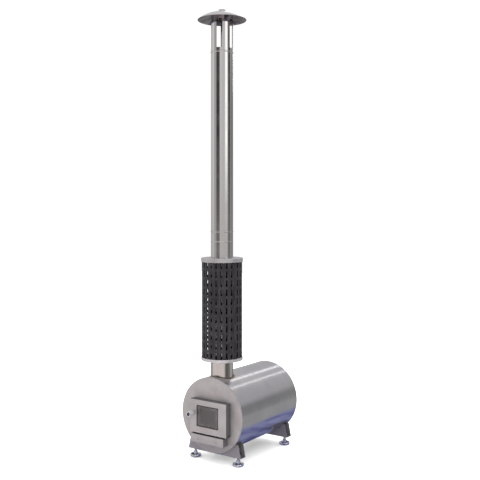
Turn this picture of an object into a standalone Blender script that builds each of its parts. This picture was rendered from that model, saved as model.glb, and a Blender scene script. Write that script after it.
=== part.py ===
"""Wood-fired outdoor water heater with a tall flue.

Run with: blender --background --python part.py
Metres, +Z up.  +X is the operator's right, the fire door faces -Y.
The origin is the centre of the footprint at floor level.
"""
import math

import bmesh
import bpy
from mathutils import Vector

# ---------------------------------------------------------------- driving dimensions
GAP = 0.0003                    # clearance between pieces that touch

DRUM_R = 0.197                  # outer radius of the horizontal drum
DRUM_LENGTH = 0.542
DRUM_Z = 0.2514                 # height of the drum's axis
SHELL_T = 0.0025
PLATE_T = 0.004                 # front and rear plates
FIREBOX_R = 0.165               # outer radius of the fire tube
FIREBOX_T = 0.004
FIREBOX_LENGTH = 0.466
GRIP_REACH = 0.0937             # from the front plate to the end of the handle grip
SOCKET_REACH = 0.045            # from the rear plate to the end of the water sockets

FLUE_R = 0.060
FLUE_T = 0.002
FLUE_BACK = 0.0933              # flue axis behind the front plate
SPIGOT_DEPTH = 0.050            # how far one flue length slides into the next
FLUE_BEAD = 0.0014              # rolled bead at the top of each length
FLUE_BEAD_H = 0.0050
TAPER_LOW = 0.004               # where the spigot opens out to the full bore
TAPER_HIGH = 0.009
STUB_TOP = 0.590
LOWER_PIPE_TOP = 1.217
UPPER_PIPE_TOP = 2.171
WINDOW_LOW = 2.188
WINDOW_HIGH = 2.342
WINDOW_COUNT = 5
WINDOW_WIDTH = 0.032
WINDOW_AZIMUTH = math.radians(23.2)     # first window, turned from -Y towards +X

CAP_R = 0.131
CAP_RIM_Z = 2.3436
CAP_RISE = 0.042                # from the rim to the top of the domed sheet
CAP_POWER = 2.2                 # how full the dome is: 1 is a plain cone
CAP_T = 0.0015
CAP_HEM = 0.0035
KNOB_R = 0.0195
KNOB_TOP_Z = 2.398

GUARD_R = 0.108
GUARD_T = 0.0015
GUARD_LOW = 0.5295
GUARD_HIGH = 1.0737
GUARD_CAP_R = 0.1117
GUARD_CAP_T = 0.002
GUARD_CAP_EDGE = 0.0012         # rounding of the end caps' outer edge
TOP_CAP_RIM = 0.0215
BOTTOM_CAP_RIM = 0.0170
SLOT_COLUMNS = 24
SLOT_PITCH = math.radians(14.75)        # the last web is wider: it carries the seam
SLOT_ANGLE = math.radians(4.7)
SLOT_ROWS = 11
SLOT_ROW_PITCH = 0.0475
SLOT_HEIGHT = 0.035
SEAM_AZIMUTH = math.radians(74.6)

DOOR_LEFT = -0.111
DOOR_RIGHT = 0.125
DOOR_LOW = 0.1595
DOOR_HIGH = 0.333
DOOR_DEPTH = 0.041              # from the front plate to the door's face
PAN_T = 0.002
PAN_REAR_GAP = 0.0015
DOOR_WINDOW = (-0.067, 0.075, 0.1935, 0.3055)   # left, right, low, high
GLASS_LAP = 0.0095
GLASS_T = 0.004
NECK = (-0.097, 0.095, 0.178, 0.316)            # clear opening: left, right, low, high
NECK_T = 0.003
NECK_REACH = 0.0218
HINGE_X = DOOR_RIGHT - 0.006
HINGE_FROM_PLATE = 0.0215
HINGE_PIN_R = 0.0025
LUG_T = 0.004
LUG_PLAY = 0.0005
RETAINER = (-0.1045, 0.1045, 0.1675, 0.3265)     # left, right, low, high
RETAINER_SCREW_R = 0.0017
RETAINER_SCREWS_X = (-0.0855, 0.0890)
RETAINER_SCREWS_Z = (0.198, 0.302)
GASKET_CORNER = 0.010
HANDLE_X = -0.085
HANDLE_Z = 0.262
SPINDLE_R = 0.005
SPINDLE_END_R = 0.004
GRIP_R = 0.0145
ROSETTE_R = 0.0115
ROSETTE_H = 0.0038
TONGUE_HALF = 0.0065
TONGUE_T = 0.004
TONGUE_DROP = 0.030             # from the spindle's axis to the tongue's lower end
SPINDLE_NUT_R = 0.0068
SPINDLE_NUT_H = 0.006

DRAWER_HALF = 0.106
DRAWER_LOW = 0.108
DRAWER_HIGH = 0.1515
TRAY_HALF = 0.076
TRAY_LOW = 0.1145
TRAY_HIGH = 0.146
TRAY_LENGTH = 0.400
TRAY_T = 0.0015
TRAY_PLAY = 0.002               # around the tray, where it passes the front plate
DRAWER_SCREW_R = 0.0020
DRAWER_SCREW_X = 0.060
DRAWER_SCREW_Z = 0.128
RUNNER_T = 0.004
RUNNER_INNER = 0.056
RUNNER_OUTER = 0.0735

GRATE_LOW = 0.158
GRATE_T = 0.011
GRATE_LENGTH = 0.430
GRATE_SLOTS = 11
GRATE_SLOT_LENGTH = 0.190
GRATE_SLOT_WIDTH = 0.014
GRATE_INSET = 0.012

SADDLE_INSET = 0.045            # saddle centre from each end of the drum
SADDLE_DEPTH = 0.046
SADDLE_T = 0.003
SADDLE_LOW = 0.045
SADDLE_SHOULDER_Z = 0.1175
SADDLE_FOOT_HALF = 0.171
SADDLE_SHOULDER_HALF = 0.156

FOOT_X = 0.141
PAD_R = 0.029
PAD_H = 0.0145
STUD_R = 0.007
STUD_TOP = 0.092
COLLAR_R = 0.0105               # adjusting collar above the pad
COLLAR_TOP = 0.030
NUT_ACROSS = 0.024
NUT_H = 0.012

SOCKET_R = 0.0255
SOCKET_BORE_R = 0.0205
SOCKET_LENGTH = 0.055
OUTLET_Z = DRUM_Z + 0.130
INLET_Z = DRUM_Z - 0.105
DRAIN_Z = DRUM_Z - 0.171
DRAIN_R = 0.014
DRAIN_BORE_R = 0.0085
DRAIN_REACH = 0.018
DRAIN_LENGTH = 0.024
PLUG_HEAD_R = 0.013
PLUG_HEAD_H = 0.0075
PLUG_THREAD = 0.016

# ---------------------------------------------------------------- worked-out places
TOTAL_DEPTH = GRIP_REACH + DRUM_LENGTH + SOCKET_REACH
FRONT_Y = -TOTAL_DEPTH / 2 + GRIP_REACH
REAR_Y = FRONT_Y + DRUM_LENGTH
FLUE_Y = FRONT_Y + FLUE_BACK
DOOR_Y = FRONT_Y - DOOR_DEPTH
HINGE_Y = FRONT_Y - HINGE_FROM_PLATE
PLATE_BACK_Y = FRONT_Y + PLATE_T
FIREBOX_END_Y = FRONT_Y + FIREBOX_LENGTH

DRUM_STEPS = 80                 # facets around the turned pieces
TUBE_STEPS = 48
FLUE_STEPS = 40
CAP_STEPS = 56
SMALL_STEPS = 20
SCREW_STEPS = 12

COLOURS = {
    "brushed": ((0.52, 0.50, 0.50), 0.38, 1.0),
    "face": ((0.60, 0.56, 0.54), 0.42, 1.0),
    "flue": ((0.66, 0.64, 0.63), 0.16, 1.0),
    "guard": ((0.05, 0.05, 0.056), 0.45, 0.6),
    "inner": ((0.22, 0.21, 0.20), 0.65, 0.9),
    "iron": ((0.07, 0.065, 0.06), 0.75, 0.5),
    "glass": ((0.09, 0.085, 0.08), 0.08, 0.0),
    "rope": ((0.35, 0.34, 0.32), 0.95, 0.0),
    "chrome": ((0.78, 0.78, 0.80), 0.10, 1.0),
    "fastener": ((0.60, 0.60, 0.60), 0.30, 1.0),
    "brass": ((0.70, 0.52, 0.25), 0.35, 1.0),
}


# ---------------------------------------------------------------- helpers
def new_collection(name):
    collection = bpy.data.collections.new(name)
    bpy.context.scene.collection.children.link(collection)
    return collection


def material(node, kind):
    colour, roughness, metallic = COLOURS[kind]
    made = bpy.data.materials.new(node)
    made.use_nodes = True
    shader = made.node_tree.nodes["Principled BSDF"]
    shader.inputs["Base Color"].default_value = (*colour, 1.0)
    shader.inputs["Roughness"].default_value = roughness
    shader.inputs["Metallic"].default_value = metallic
    return made


def put(name, mesh, kind=None, parent=None):
    """Link a mesh as a part when it has a kind, or as a cutter when it has none."""
    made = bpy.data.objects.new(name, mesh)
    if kind is None:
        CUTTERS.objects.link(made)
        made.hide_render = True
        made.display_type = "WIRE"
        return made
    PARTS.objects.link(made)
    mesh.materials.append(material(name, kind))
    if parent is not None:
        made.parent = parent
        made.matrix_parent_inverse = parent.matrix_world.inverted()
    return made


def pivot(name, place):
    """An empty on a joint's axis; the pieces that move with the joint are its children."""
    empty = bpy.data.objects.new(name, None)
    PARTS.objects.link(empty)
    empty.location = place
    bpy.context.view_layer.update()
    return empty


def box(name, low, high, kind=None, parent=None, bevel=0.0):
    mesh = bpy.data.meshes.new(name)
    shape = bmesh.new()
    bmesh.ops.create_cube(shape, size=1.0)
    low, high = Vector(low), Vector(high)
    for vertex in shape.verts:
        half = vertex.co + Vector((0.5, 0.5, 0.5))
        vertex.co = Vector(low[i] + half[i] * (high[i] - low[i]) for i in range(3))
    shape.to_mesh(mesh)
    shape.free()
    made = put(name, mesh, kind, parent)
    if bevel:
        rounding = made.modifiers.new("edges", "BEVEL")
        rounding.width = bevel
        rounding.segments = 1
    return made


def rod(name, radius, low, high, axis="Z", kind=None, parent=None, sides=32):
    """A cylinder from the point low along one axis to the coordinate high."""
    length = high - low["XYZ".index(axis)]
    mesh = bpy.data.meshes.new(name)
    shape = bmesh.new()
    bmesh.ops.create_cone(shape, cap_ends=True, segments=sides,
                          radius1=radius, radius2=radius, depth=length)
    shape.to_mesh(mesh)
    shape.free()
    made = put(name, mesh, kind)
    centre = Vector(low)
    centre["XYZ".index(axis)] += length / 2
    made.location = centre
    turns = {"X": (0.0, math.pi / 2, 0.0), "Y": (math.pi / 2, 0.0, 0.0), "Z": (0.0, 0.0, 0.0)}
    made.rotation_euler = turns[axis]
    adopt(made, parent)
    return made


def adopt(made, parent):
    if parent is not None:
        bpy.context.view_layer.update()
        made.parent = parent
        made.matrix_parent_inverse = parent.matrix_world.inverted()


def turned(name, profile, place, kind=None, forward=False, closed=True, steps=48, parent=None,
           smooth=True):
    """Turn a profile of (radius, height) points about the vertical axis through place.

    The points run down the outer side first.  With forward set, the profile's height
    points along -Y instead, so the same rule makes pieces on the drum's axis.
    """
    mesh = bpy.data.meshes.new(name)
    points = [(radius, 0.0, height) for radius, height in profile]
    edges = [(i, i + 1) for i in range(len(points) - 1)]
    if closed:
        edges.append((len(points) - 1, 0))
    mesh.from_pydata(points, edges, [])
    made = put(name, mesh, kind)
    made.location = place
    if forward:
        made.rotation_euler = (math.pi / 2, 0.0, 0.0)
    spin = made.modifiers.new("turn", "SCREW")
    spin.steps = steps
    spin.render_steps = steps
    spin.use_merge_vertices = True
    spin.merge_threshold = 0.00001
    spin.use_smooth_shade = smooth
    adopt(made, parent)
    return made


def tube_profile(outer, inner, top, bottom):
    return [(outer, top), (outer, bottom), (inner, bottom), (inner, top)]


def outline(name, points, low_y, high_y, kind=None):
    """A flat outline of (x, z) points, extruded along Y."""
    curve = bpy.data.curves.new(name, "CURVE")
    curve.dimensions = "2D"
    curve.fill_mode = "BOTH"
    curve.extrude = (high_y - low_y) / 2
    spline = curve.splines.new("POLY")
    spline.points.add(len(points) - 1)
    for point, (x, z) in zip(spline.points, points):
        point.co = (x, z, 0.0, 1.0)
    spline.use_cyclic_u = True
    guide = bpy.data.objects.new(name + "_outline", curve)
    CUTTERS.objects.link(guide)
    guide.rotation_euler = (math.pi / 2, 0.0, 0.0)
    guide.location = (0.0, (low_y + high_y) / 2, 0.0)
    return curve_to_mesh(name, guide, kind)


def curve_to_mesh(name, guide, kind=None, parent=None):
    """Replace a curve object by a welded mesh object in the same place."""
    bpy.context.view_layer.update()
    evaluated = guide.evaluated_get(bpy.context.evaluated_depsgraph_get())
    mesh = bpy.data.meshes.new_from_object(evaluated)
    mesh.name = name
    shape = bmesh.new()
    shape.from_mesh(mesh)
    bmesh.ops.remove_doubles(shape, verts=shape.verts, dist=0.00001)
    shape.to_mesh(mesh)
    shape.free()
    mesh.materials.clear()
    made = put(name, mesh, kind)
    made.matrix_world = guide.matrix_world.copy()
    bpy.data.objects.remove(guide)
    adopt(made, parent)
    return made


def cut(piece, *cutters):
    for cutter in cutters:
        difference = piece.modifiers.new(cutter.name, "BOOLEAN")
        difference.operation = "DIFFERENCE"
        difference.solver = "EXACT"
        difference.object = cutter
    return piece


def through(name, radius, x, z, low_y, high_y, sides=24):
    """A round cutter along Y."""
    return rod(name, radius, (x, low_y, z), high_y, axis="Y", sides=sides)


def window(name, edges, low_y, high_y, grow=0.0):
    """A rectangular cutter along Y from (left, right, low, high)."""
    left, right, low, high = edges
    return box(name, (left - grow, low_y, low - grow), (right + grow, high_y, high + grow))


# ---------------------------------------------------------------- drum
def make_drum():
    stub_hole = rod("stub_hole", FLUE_R + GAP, (0.0, FLUE_Y, DRUM_Z + 0.02), 0.7,
                    sides=FLUE_STEPS)

    front = -FRONT_Y
    shell = turned("outer_shell",
                   tube_profile(DRUM_R, DRUM_R - SHELL_T, front - PLATE_T - GAP,
                                -REAR_Y + PLATE_T + GAP),
                   (0.0, 0.0, DRUM_Z), "brushed", forward=True, steps=DRUM_STEPS)
    cut(shell, stub_hole)

    tube = turned("firebox_tube",
                  tube_profile(FIREBOX_R, FIREBOX_R - FIREBOX_T, front - PLATE_T - GAP,
                               -FIREBOX_END_Y),
                  (0.0, 0.0, DRUM_Z), "inner", forward=True, steps=TUBE_STEPS)
    cut(tube, stub_hole)

    rod("firebox_back", FIREBOX_R - FIREBOX_T - GAP,
        (0.0, FIREBOX_END_Y - FIREBOX_T, DRUM_Z), FIREBOX_END_Y, axis="Y", kind="inner",
        sides=TUBE_STEPS)

    face = rod("front_plate", DRUM_R, (0.0, FRONT_Y, DRUM_Z), PLATE_BACK_Y, axis="Y",
               kind="face", sides=DRUM_STEPS)
    neck_cut = window("neck_cut", NECK, FRONT_Y - 0.01, PLATE_BACK_Y + 0.01, grow=NECK_T + GAP)
    tray_cut = box("tray_cut", (-TRAY_HALF - TRAY_PLAY, FRONT_Y - 0.01, TRAY_LOW - TRAY_PLAY),
                   (TRAY_HALF + TRAY_PLAY, PLATE_BACK_Y + 0.01, TRAY_HIGH + TRAY_PLAY))
    cut(face, neck_cut, tray_cut)

    rear = rod("rear_plate", DRUM_R, (0.0, REAR_Y - PLATE_T, DRUM_Z), REAR_Y, axis="Y",
               kind="face", sides=DRUM_STEPS)
    for label, radius, z in (("outlet", SOCKET_R, OUTLET_Z), ("inlet", SOCKET_R, INLET_Z),
                             ("drain", DRAIN_R, DRAIN_Z)):
        hole = through(label + "_hole", radius + GAP, 0.0, z, REAR_Y - 0.02, REAR_Y + 0.02,
                       sides=SMALL_STEPS)
        cut(rear, hole)


def make_connections():
    """Threaded water sockets and the drain, all on the rear plate."""
    end = REAR_Y + SOCKET_REACH
    for name, z in (("water_outlet_socket", OUTLET_Z), ("water_inlet_socket", INLET_Z)):
        turned(name, tube_profile(SOCKET_R, SOCKET_BORE_R, SOCKET_LENGTH, 0.0),
               (0.0, end, z), "fastener", forward=True, steps=SMALL_STEPS)
    drain_end = REAR_Y + DRAIN_REACH
    turned("drain_socket", tube_profile(DRAIN_R, DRAIN_BORE_R, DRAIN_LENGTH, 0.0),
           (0.0, drain_end, DRAIN_Z), "fastener", forward=True, steps=SMALL_STEPS)
    turned("drain_plug",
           [(0.0, PLUG_THREAD), (DRAIN_BORE_R - GAP, PLUG_THREAD), (DRAIN_BORE_R - GAP, -GAP),
            (PLUG_HEAD_R, -GAP), (PLUG_HEAD_R, -PLUG_HEAD_H), (0.0, -PLUG_HEAD_H)],
           (0.0, drain_end, DRAIN_Z), "brass", forward=True, closed=False, steps=6, smooth=False)


# ---------------------------------------------------------------- fire side
def make_grate():
    half = math.sqrt((FIREBOX_R - FIREBOX_T - GAP) ** 2 - (DRUM_Z - GRATE_LOW) ** 2) - GAP
    low_y = PLATE_BACK_Y + GRATE_INSET
    grate = box("grate", (-half, low_y, GRATE_LOW),
                (half, low_y + GRATE_LENGTH, GRATE_LOW + GRATE_T), "iron")
    pitch = GRATE_LENGTH / (GRATE_SLOTS + 1)
    for i in range(GRATE_SLOTS):
        y = low_y + pitch * (i + 1)
        slot = box(f"grate_slot_{i + 1}",
                   (-GRATE_SLOT_LENGTH / 2, y - GRATE_SLOT_WIDTH / 2, GRATE_LOW - 0.01),
                   (GRATE_SLOT_LENGTH / 2, y + GRATE_SLOT_WIDTH / 2, GRATE_LOW + GRATE_T + 0.01))
        cut(grate, slot)


def make_ash_drawer():
    slide = pivot("ash_drawer_axis", (0.0, DOOR_Y, (DRAWER_LOW + DRAWER_HIGH) / 2))
    front = box("drawer_front", (-DRAWER_HALF, DOOR_Y, DRAWER_LOW),
                (DRAWER_HALF, FRONT_Y - PAN_REAR_GAP, DRAWER_HIGH), "face", slide, bevel=0.0008)
    hollow = box("drawer_front_hollow",
                 (-DRAWER_HALF + PAN_T, DOOR_Y + PAN_T, DRAWER_LOW + PAN_T),
                 (DRAWER_HALF - PAN_T, FRONT_Y + 0.02, DRAWER_HIGH - PAN_T))
    cut(front, hollow)

    tray_y = DOOR_Y + PAN_T + GAP
    tray = box("ash_tray", (-TRAY_HALF, tray_y, TRAY_LOW),
               (TRAY_HALF, tray_y + TRAY_LENGTH, TRAY_HIGH), "inner", slide)
    tray_hollow = box("tray_hollow", (-TRAY_HALF + TRAY_T, tray_y + TRAY_T, TRAY_LOW + TRAY_T),
                      (TRAY_HALF - TRAY_T, tray_y + TRAY_LENGTH - TRAY_T, TRAY_HIGH + 0.02))
    cut(tray, tray_hollow)

    shank = -(PAN_T + GAP + TRAY_T)
    for side, x in (("left", -DRAWER_SCREW_X), ("right", DRAWER_SCREW_X)):
        bore = through(f"drawer_screw_bore_{side}", DRAWER_SCREW_R + GAP, x, DRAWER_SCREW_Z,
                       DOOR_Y - 0.01, DOOR_Y + 0.01, sides=SCREW_STEPS)
        cut(front, bore)
        cut(tray, bore)
        turned(f"drawer_screw_{side}",
               [(0.0, 0.0022), (0.0026, 0.0018), (0.0038, GAP), (DRAWER_SCREW_R, GAP),
                (DRAWER_SCREW_R, shank), (0.0, shank)],
               (x, DOOR_Y, DRAWER_SCREW_Z), "fastener", forward=True, closed=False,
               steps=SCREW_STEPS, parent=slide)

    for side, sign in (("left", -1), ("right", 1)):
        inner, outer = sorted((sign * RUNNER_INNER, sign * RUNNER_OUTER))
        box(f"ash_runner_{side}", (inner, PLATE_BACK_Y + GAP, TRAY_LOW - GAP - RUNNER_T),
            (outer, FIREBOX_END_Y - FIREBOX_T - GAP, TRAY_LOW - GAP), "iron")


# ---------------------------------------------------------------- door
def make_door():
    """The folded pan, with the glass, its retainer and the rope seal inside."""
    swing = pivot("door_hinge_axis", (HINGE_X, HINGE_Y, (DOOR_LOW + DOOR_HIGH) / 2))
    panel = box("door_panel", (DOOR_LEFT, DOOR_Y, DOOR_LOW),
                (DOOR_RIGHT, FRONT_Y - PAN_REAR_GAP, DOOR_HIGH), "face", swing, bevel=0.0008)
    hollow = box("door_hollow", (DOOR_LEFT + PAN_T, DOOR_Y + PAN_T, DOOR_LOW + PAN_T),
                 (DOOR_RIGHT - PAN_T, FRONT_Y + 0.02, DOOR_HIGH - PAN_T))
    sight = window("door_window_cut", DOOR_WINDOW, DOOR_Y - 0.01, DOOR_Y + 0.0099)
    bore = through("spindle_bore", SPINDLE_R + GAP, HANDLE_X, HANDLE_Z, DOOR_Y - 0.01,
                   DOOR_Y + 0.02)
    pin_bore = rod("pin_bore", HINGE_PIN_R + GAP, (HINGE_X, HINGE_Y, DOOR_LOW - 0.01),
                   DOOR_HIGH + 0.01, sides=16)
    cut(panel, hollow, sight, bore, pin_bore)
    for label, low, high in (("low", DOOR_LOW + PAN_T - 0.0002, DOOR_LOW + 0.0080),
                             ("high", DOOR_HIGH - 0.0080, DOOR_HIGH - PAN_T + 0.0002)):
        notch = box(f"hinge_notch_{label}", (DOOR_RIGHT - PAN_T - 0.0011, HINGE_Y - 0.008, low),
                    (DOOR_RIGHT + 0.01, FRONT_Y + 0.02, high))
        cut(panel, notch)

    left, right, low, high = DOOR_WINDOW
    glass_y = DOOR_Y + PAN_T + GAP
    glass_edges = (left - GLASS_LAP, right + GLASS_LAP, low - GLASS_LAP, high + GLASS_LAP)
    box("door_glass", (glass_edges[0], glass_y, glass_edges[2]),
        (glass_edges[1], glass_y + GLASS_T, glass_edges[3]), "glass", swing)

    back_y = glass_y + GLASS_T + 2 * GAP + 0.002
    retainer = box("glass_retainer", (RETAINER[0], glass_y, RETAINER[2]),
                   (RETAINER[1], back_y, RETAINER[3]), "inner", swing)
    rebate = window("retainer_rebate", glass_edges, DOOR_Y, glass_y + GLASS_T + GAP, grow=GAP)
    view = window("retainer_view", DOOR_WINDOW, DOOR_Y, back_y + 0.01, grow=0.002)
    cut(retainer, rebate, view, bore)
    shank = back_y - glass_y - 2 * GAP
    for column, x in zip(("left", "right"), RETAINER_SCREWS_X):
        for row, z in zip(("low", "high"), RETAINER_SCREWS_Z):
            name = f"retainer_screw_{row}_{column}"
            cut(retainer, through(name + "_bore", RETAINER_SCREW_R + GAP, x, z, DOOR_Y,
                                  back_y + 0.01, sides=SCREW_STEPS))
            turned(name,
                   [(0.0, shank), (RETAINER_SCREW_R, shank), (RETAINER_SCREW_R, -GAP),
                    (0.0030, -GAP), (0.0026, -0.0018), (0.0, -0.0022)],
                   (x, back_y, z), "fastener", forward=True, closed=False, steps=SCREW_STEPS,
                   parent=swing)

    make_gasket(swing, back_y)
    make_neck()
    make_hinge()
    make_handle()


def make_gasket(swing, back_y):
    """A rope laid in a rounded rectangle, in line with the neck's rim."""
    radius = (FRONT_Y - NECK_REACH - back_y) / 2 - GAP
    left, right, low, high = NECK
    mid = NECK_T / 2
    corner = GASKET_CORNER
    points = []
    for i, (x, z) in enumerate(((right + mid, high + mid), (left - mid, high + mid),
                                (left - mid, low - mid), (right + mid, low - mid))):
        inward_x = -corner if x > 0 else corner
        inward_z = -corner if z > (low + high) / 2 else corner
        for step in range(4):
            angle = math.pi / 2 * (i + step / 3)
            points.append((x + inward_x + corner * math.cos(angle),
                           z + inward_z + corner * math.sin(angle)))
    curve = bpy.data.curves.new("door_gasket", "CURVE")
    curve.dimensions = "3D"
    curve.bevel_depth = radius
    curve.bevel_resolution = 1
    spline = curve.splines.new("POLY")
    spline.points.add(len(points) - 1)
    for point, (x, z) in zip(spline.points, points):
        point.co = (x, back_y + GAP + radius, z, 1.0)
    spline.use_cyclic_u = True
    guide = bpy.data.objects.new("door_gasket_guide", curve)
    CUTTERS.objects.link(guide)
    curve_to_mesh("door_gasket", guide, "rope", swing)


def make_neck():
    """The collar around the fire opening; it passes through the front plate."""
    left, right, low, high = NECK
    neck = box("door_neck", (left - NECK_T, FRONT_Y - NECK_REACH, low - NECK_T),
               (right + NECK_T, PLATE_BACK_Y, high + NECK_T), "inner")
    cut(neck, window("neck_opening", NECK, FRONT_Y - 0.05, PLATE_BACK_Y + 0.01))


def make_hinge():
    """Two lugs inside the pan's corners, each with its own short pin."""
    bore = rod("lug_bore", HINGE_PIN_R + GAP, (HINGE_X, HINGE_Y, DOOR_LOW), DOOR_HIGH, sides=16)
    inner_low = DOOR_LOW + PAN_T + LUG_PLAY
    inner_high = DOOR_HIGH - PAN_T - LUG_PLAY
    places = (("low", inner_low, inner_low + LUG_T, DOOR_LOW + 0.0004, inner_low + LUG_T + 0.002),
              ("high", inner_high - LUG_T, inner_high, inner_high - LUG_T - 0.002,
               DOOR_HIGH - 0.0004))
    for row, low, high, pin_low, pin_high in places:
        lug = box(f"hinge_lug_{row}", (HINGE_X - 0.007, HINGE_Y - 0.0055, low),
                  (HINGE_X + 0.0035, FRONT_Y - GAP, high), "inner")
        cut(lug, bore)
        rod(f"hinge_pin_{row}", HINGE_PIN_R, (HINGE_X, HINGE_Y, pin_low), pin_high,
            kind="fastener", sides=16)


def make_handle():
    turn = pivot("handle_axis", (HANDLE_X, DOOR_Y, HANDLE_Z))
    place = (HANDLE_X, DOOR_Y, HANDLE_Z)
    inner_end = -(DOOR_DEPTH + PLATE_T + 0.0135)
    shoulder = -(DOOR_DEPTH + PLATE_T + 0.0005)
    turned("handle_spindle",
           [(0.0, 0.0430), (0.0040, 0.0430), (SPINDLE_R, 0.0415), (SPINDLE_R, shoulder),
            (SPINDLE_END_R, shoulder), (SPINDLE_END_R, inner_end), (0.0, inner_end)],
           place, "fastener", forward=True, closed=False, steps=16, parent=turn)
    turned("handle_rosette",
           [(ROSETTE_R - 0.003, ROSETTE_H), (ROSETTE_R, ROSETTE_H - 0.0016), (ROSETTE_R, GAP),
            (SPINDLE_R + GAP, GAP), (SPINDLE_R + GAP, ROSETTE_H)],
           place, "fastener", forward=True, steps=SMALL_STEPS,
           parent=bpy.data.objects["door_hinge_axis"])
    reach = GRIP_REACH - DOOR_DEPTH
    turned("handle_grip",
           [(0.0110, reach), (GRIP_R, reach - 0.005), (GRIP_R, reach - 0.022),
            (0.0105, reach - 0.038), (0.0080, 0.0050), (SPINDLE_R + GAP, 0.0050),
            (SPINDLE_R + GAP, reach - 0.004), (0.0070, reach)],
           place, "chrome", forward=True, steps=SMALL_STEPS, parent=turn)

    tongue_y = PLATE_BACK_Y + 0.0010
    tongue = box("latch_tongue", (HANDLE_X - TONGUE_HALF, tongue_y, HANDLE_Z - TONGUE_DROP),
                 (HANDLE_X + TONGUE_HALF, tongue_y + TONGUE_T, HANDLE_Z + 0.0075), "inner", turn)
    cut(tongue, through("tongue_bore", SPINDLE_END_R + GAP, HANDLE_X, HANDLE_Z,
                        tongue_y - 0.01, tongue_y + 0.02, sides=16))
    nut_y = tongue_y + TONGUE_T + GAP
    nut = rod("spindle_nut", SPINDLE_NUT_R, (HANDLE_X, nut_y, HANDLE_Z), nut_y + SPINDLE_NUT_H,
              axis="Y", kind="fastener", parent=turn, sides=6)
    cut(nut, through("spindle_nut_bore", SPINDLE_END_R + GAP, HANDLE_X, HANDLE_Z,
                     nut_y - 0.01, nut_y + 0.02, sides=16))


# ---------------------------------------------------------------- saddles and feet
def saddle_outline():
    """Web outline: flat foot, slanted ends, short shoulders, and the drum's own arc."""
    seat = DRUM_R + GAP
    shoulder_x = math.sqrt(seat ** 2 - (DRUM_Z - SADDLE_SHOULDER_Z) ** 2)
    half_angle = math.asin(shoulder_x / seat)
    points = [(SADDLE_FOOT_HALF, SADDLE_LOW), (SADDLE_SHOULDER_HALF, SADDLE_SHOULDER_Z)]
    steps = 16
    for i in range(steps + 1):
        angle = half_angle * (1 - 2 * i / steps)
        bulge = seat / math.cos(half_angle / steps) if 0 < i < steps else seat
        points.append((bulge * math.sin(angle), DRUM_Z - bulge * math.cos(angle)))
    points += [(-SADDLE_SHOULDER_HALF, SADDLE_SHOULDER_Z), (-SADDLE_FOOT_HALF, SADDLE_LOW)]
    return points


def make_stand():
    for row, centre in (("front", FRONT_Y + SADDLE_INSET), ("rear", REAR_Y - SADDLE_INSET)):
        low_y, high_y = centre - SADDLE_DEPTH / 2, centre + SADDLE_DEPTH / 2
        saddle = outline(f"{row}_saddle", saddle_outline(), low_y, high_y, "brushed")
        channel = box(f"{row}_channel", (-0.2, low_y + SADDLE_T, SADDLE_LOW + SADDLE_T),
                      (0.2, high_y - SADDLE_T, 0.2))
        cut(saddle, channel)
        for side, x in (("left", -FOOT_X), ("right", FOOT_X)):
            hole = rod(f"foot_hole_{row}_{side}", STUD_R + GAP, (x, centre, 0.02), 0.08, sides=16)
            cut(saddle, hole)
            make_foot(f"{row}_{side}", x, centre)


def make_foot(label, x, y):
    """A swivel pad, its threaded stud, and the nut welded on the saddle's flange."""
    lift = pivot(f"foot_axis_{label}", (x, y, 0.0))
    turned(f"foot_pad_{label}",
           [(0.0, 0.0060), (0.0098, 0.0060), (0.0235, 0.0072), (0.0262, PAD_H), (0.0280, PAD_H),
            (PAD_R, 0.0115), (PAD_R, 0.0050), (0.0265, 0.0), (0.0, 0.0)],
           (x, y, 0.0), "chrome", closed=False, steps=SMALL_STEPS, parent=lift)
    turned(f"foot_stud_{label}",
           [(0.0, STUD_TOP), (STUD_R - 0.001, STUD_TOP), (STUD_R, STUD_TOP - 0.001),
            (STUD_R, COLLAR_TOP), (COLLAR_R, COLLAR_TOP - 0.0015), (COLLAR_R, 0.0063),
            (0.0, 0.0063)],
           (x, y, 0.0), "chrome", closed=False, steps=16, parent=lift)
    low = SADDLE_LOW + SADDLE_T + GAP
    nut = rod(f"foot_nut_{label}", NUT_ACROSS / 2 / math.cos(math.pi / 6), (x, y, low),
              low + NUT_H, kind="fastener", sides=6)
    cut(nut, rod(f"foot_nut_bore_{label}", STUD_R + GAP, (x, y, 0.02), 0.1, sides=16))


# ---------------------------------------------------------------- flue
def flue_length(name, bottom, top):
    """A pipe whose reduced lower end slides into the length below; a bead ends the top."""
    bore = FLUE_R - FLUE_T
    male = bore - GAP
    rim = FLUE_R + FLUE_BEAD
    profile = [(rim, top), (rim, top - FLUE_BEAD_H), (FLUE_R, top - FLUE_BEAD_H - 0.0015),
               (FLUE_R, bottom + GAP), (male, bottom + GAP), (male, bottom - SPIGOT_DEPTH),
               (male - FLUE_T, bottom - SPIGOT_DEPTH), (male - FLUE_T, bottom + TAPER_LOW),
               (bore, bottom + TAPER_HIGH), (bore, top)]
    return turned(name, profile, (0.0, FLUE_Y, 0.0), "flue", steps=FLUE_STEPS)


def make_flue():
    turned("flue_stub", tube_profile(FLUE_R, FLUE_R - FLUE_T, STUB_TOP, DRUM_Z + 0.149),
           (0.0, FLUE_Y, 0.0), "flue", steps=FLUE_STEPS)
    flue_length("lower_pipe", STUB_TOP, LOWER_PIPE_TOP)
    flue_length("upper_pipe", LOWER_PIPE_TOP, UPPER_PIPE_TOP)
    make_cowl()
    make_cap()


def cap_top(radius):
    """Height of the domed cap's upper side at a radius."""
    return CAP_RIM_Z + CAP_RISE * (1.0 - (radius / CAP_R) ** CAP_POWER)


def cap_underside(radius):
    slope = CAP_RISE * CAP_POWER / CAP_R * (radius / CAP_R) ** (CAP_POWER - 1.0)
    return cap_top(radius) - CAP_T * math.hypot(1.0, slope)


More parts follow.
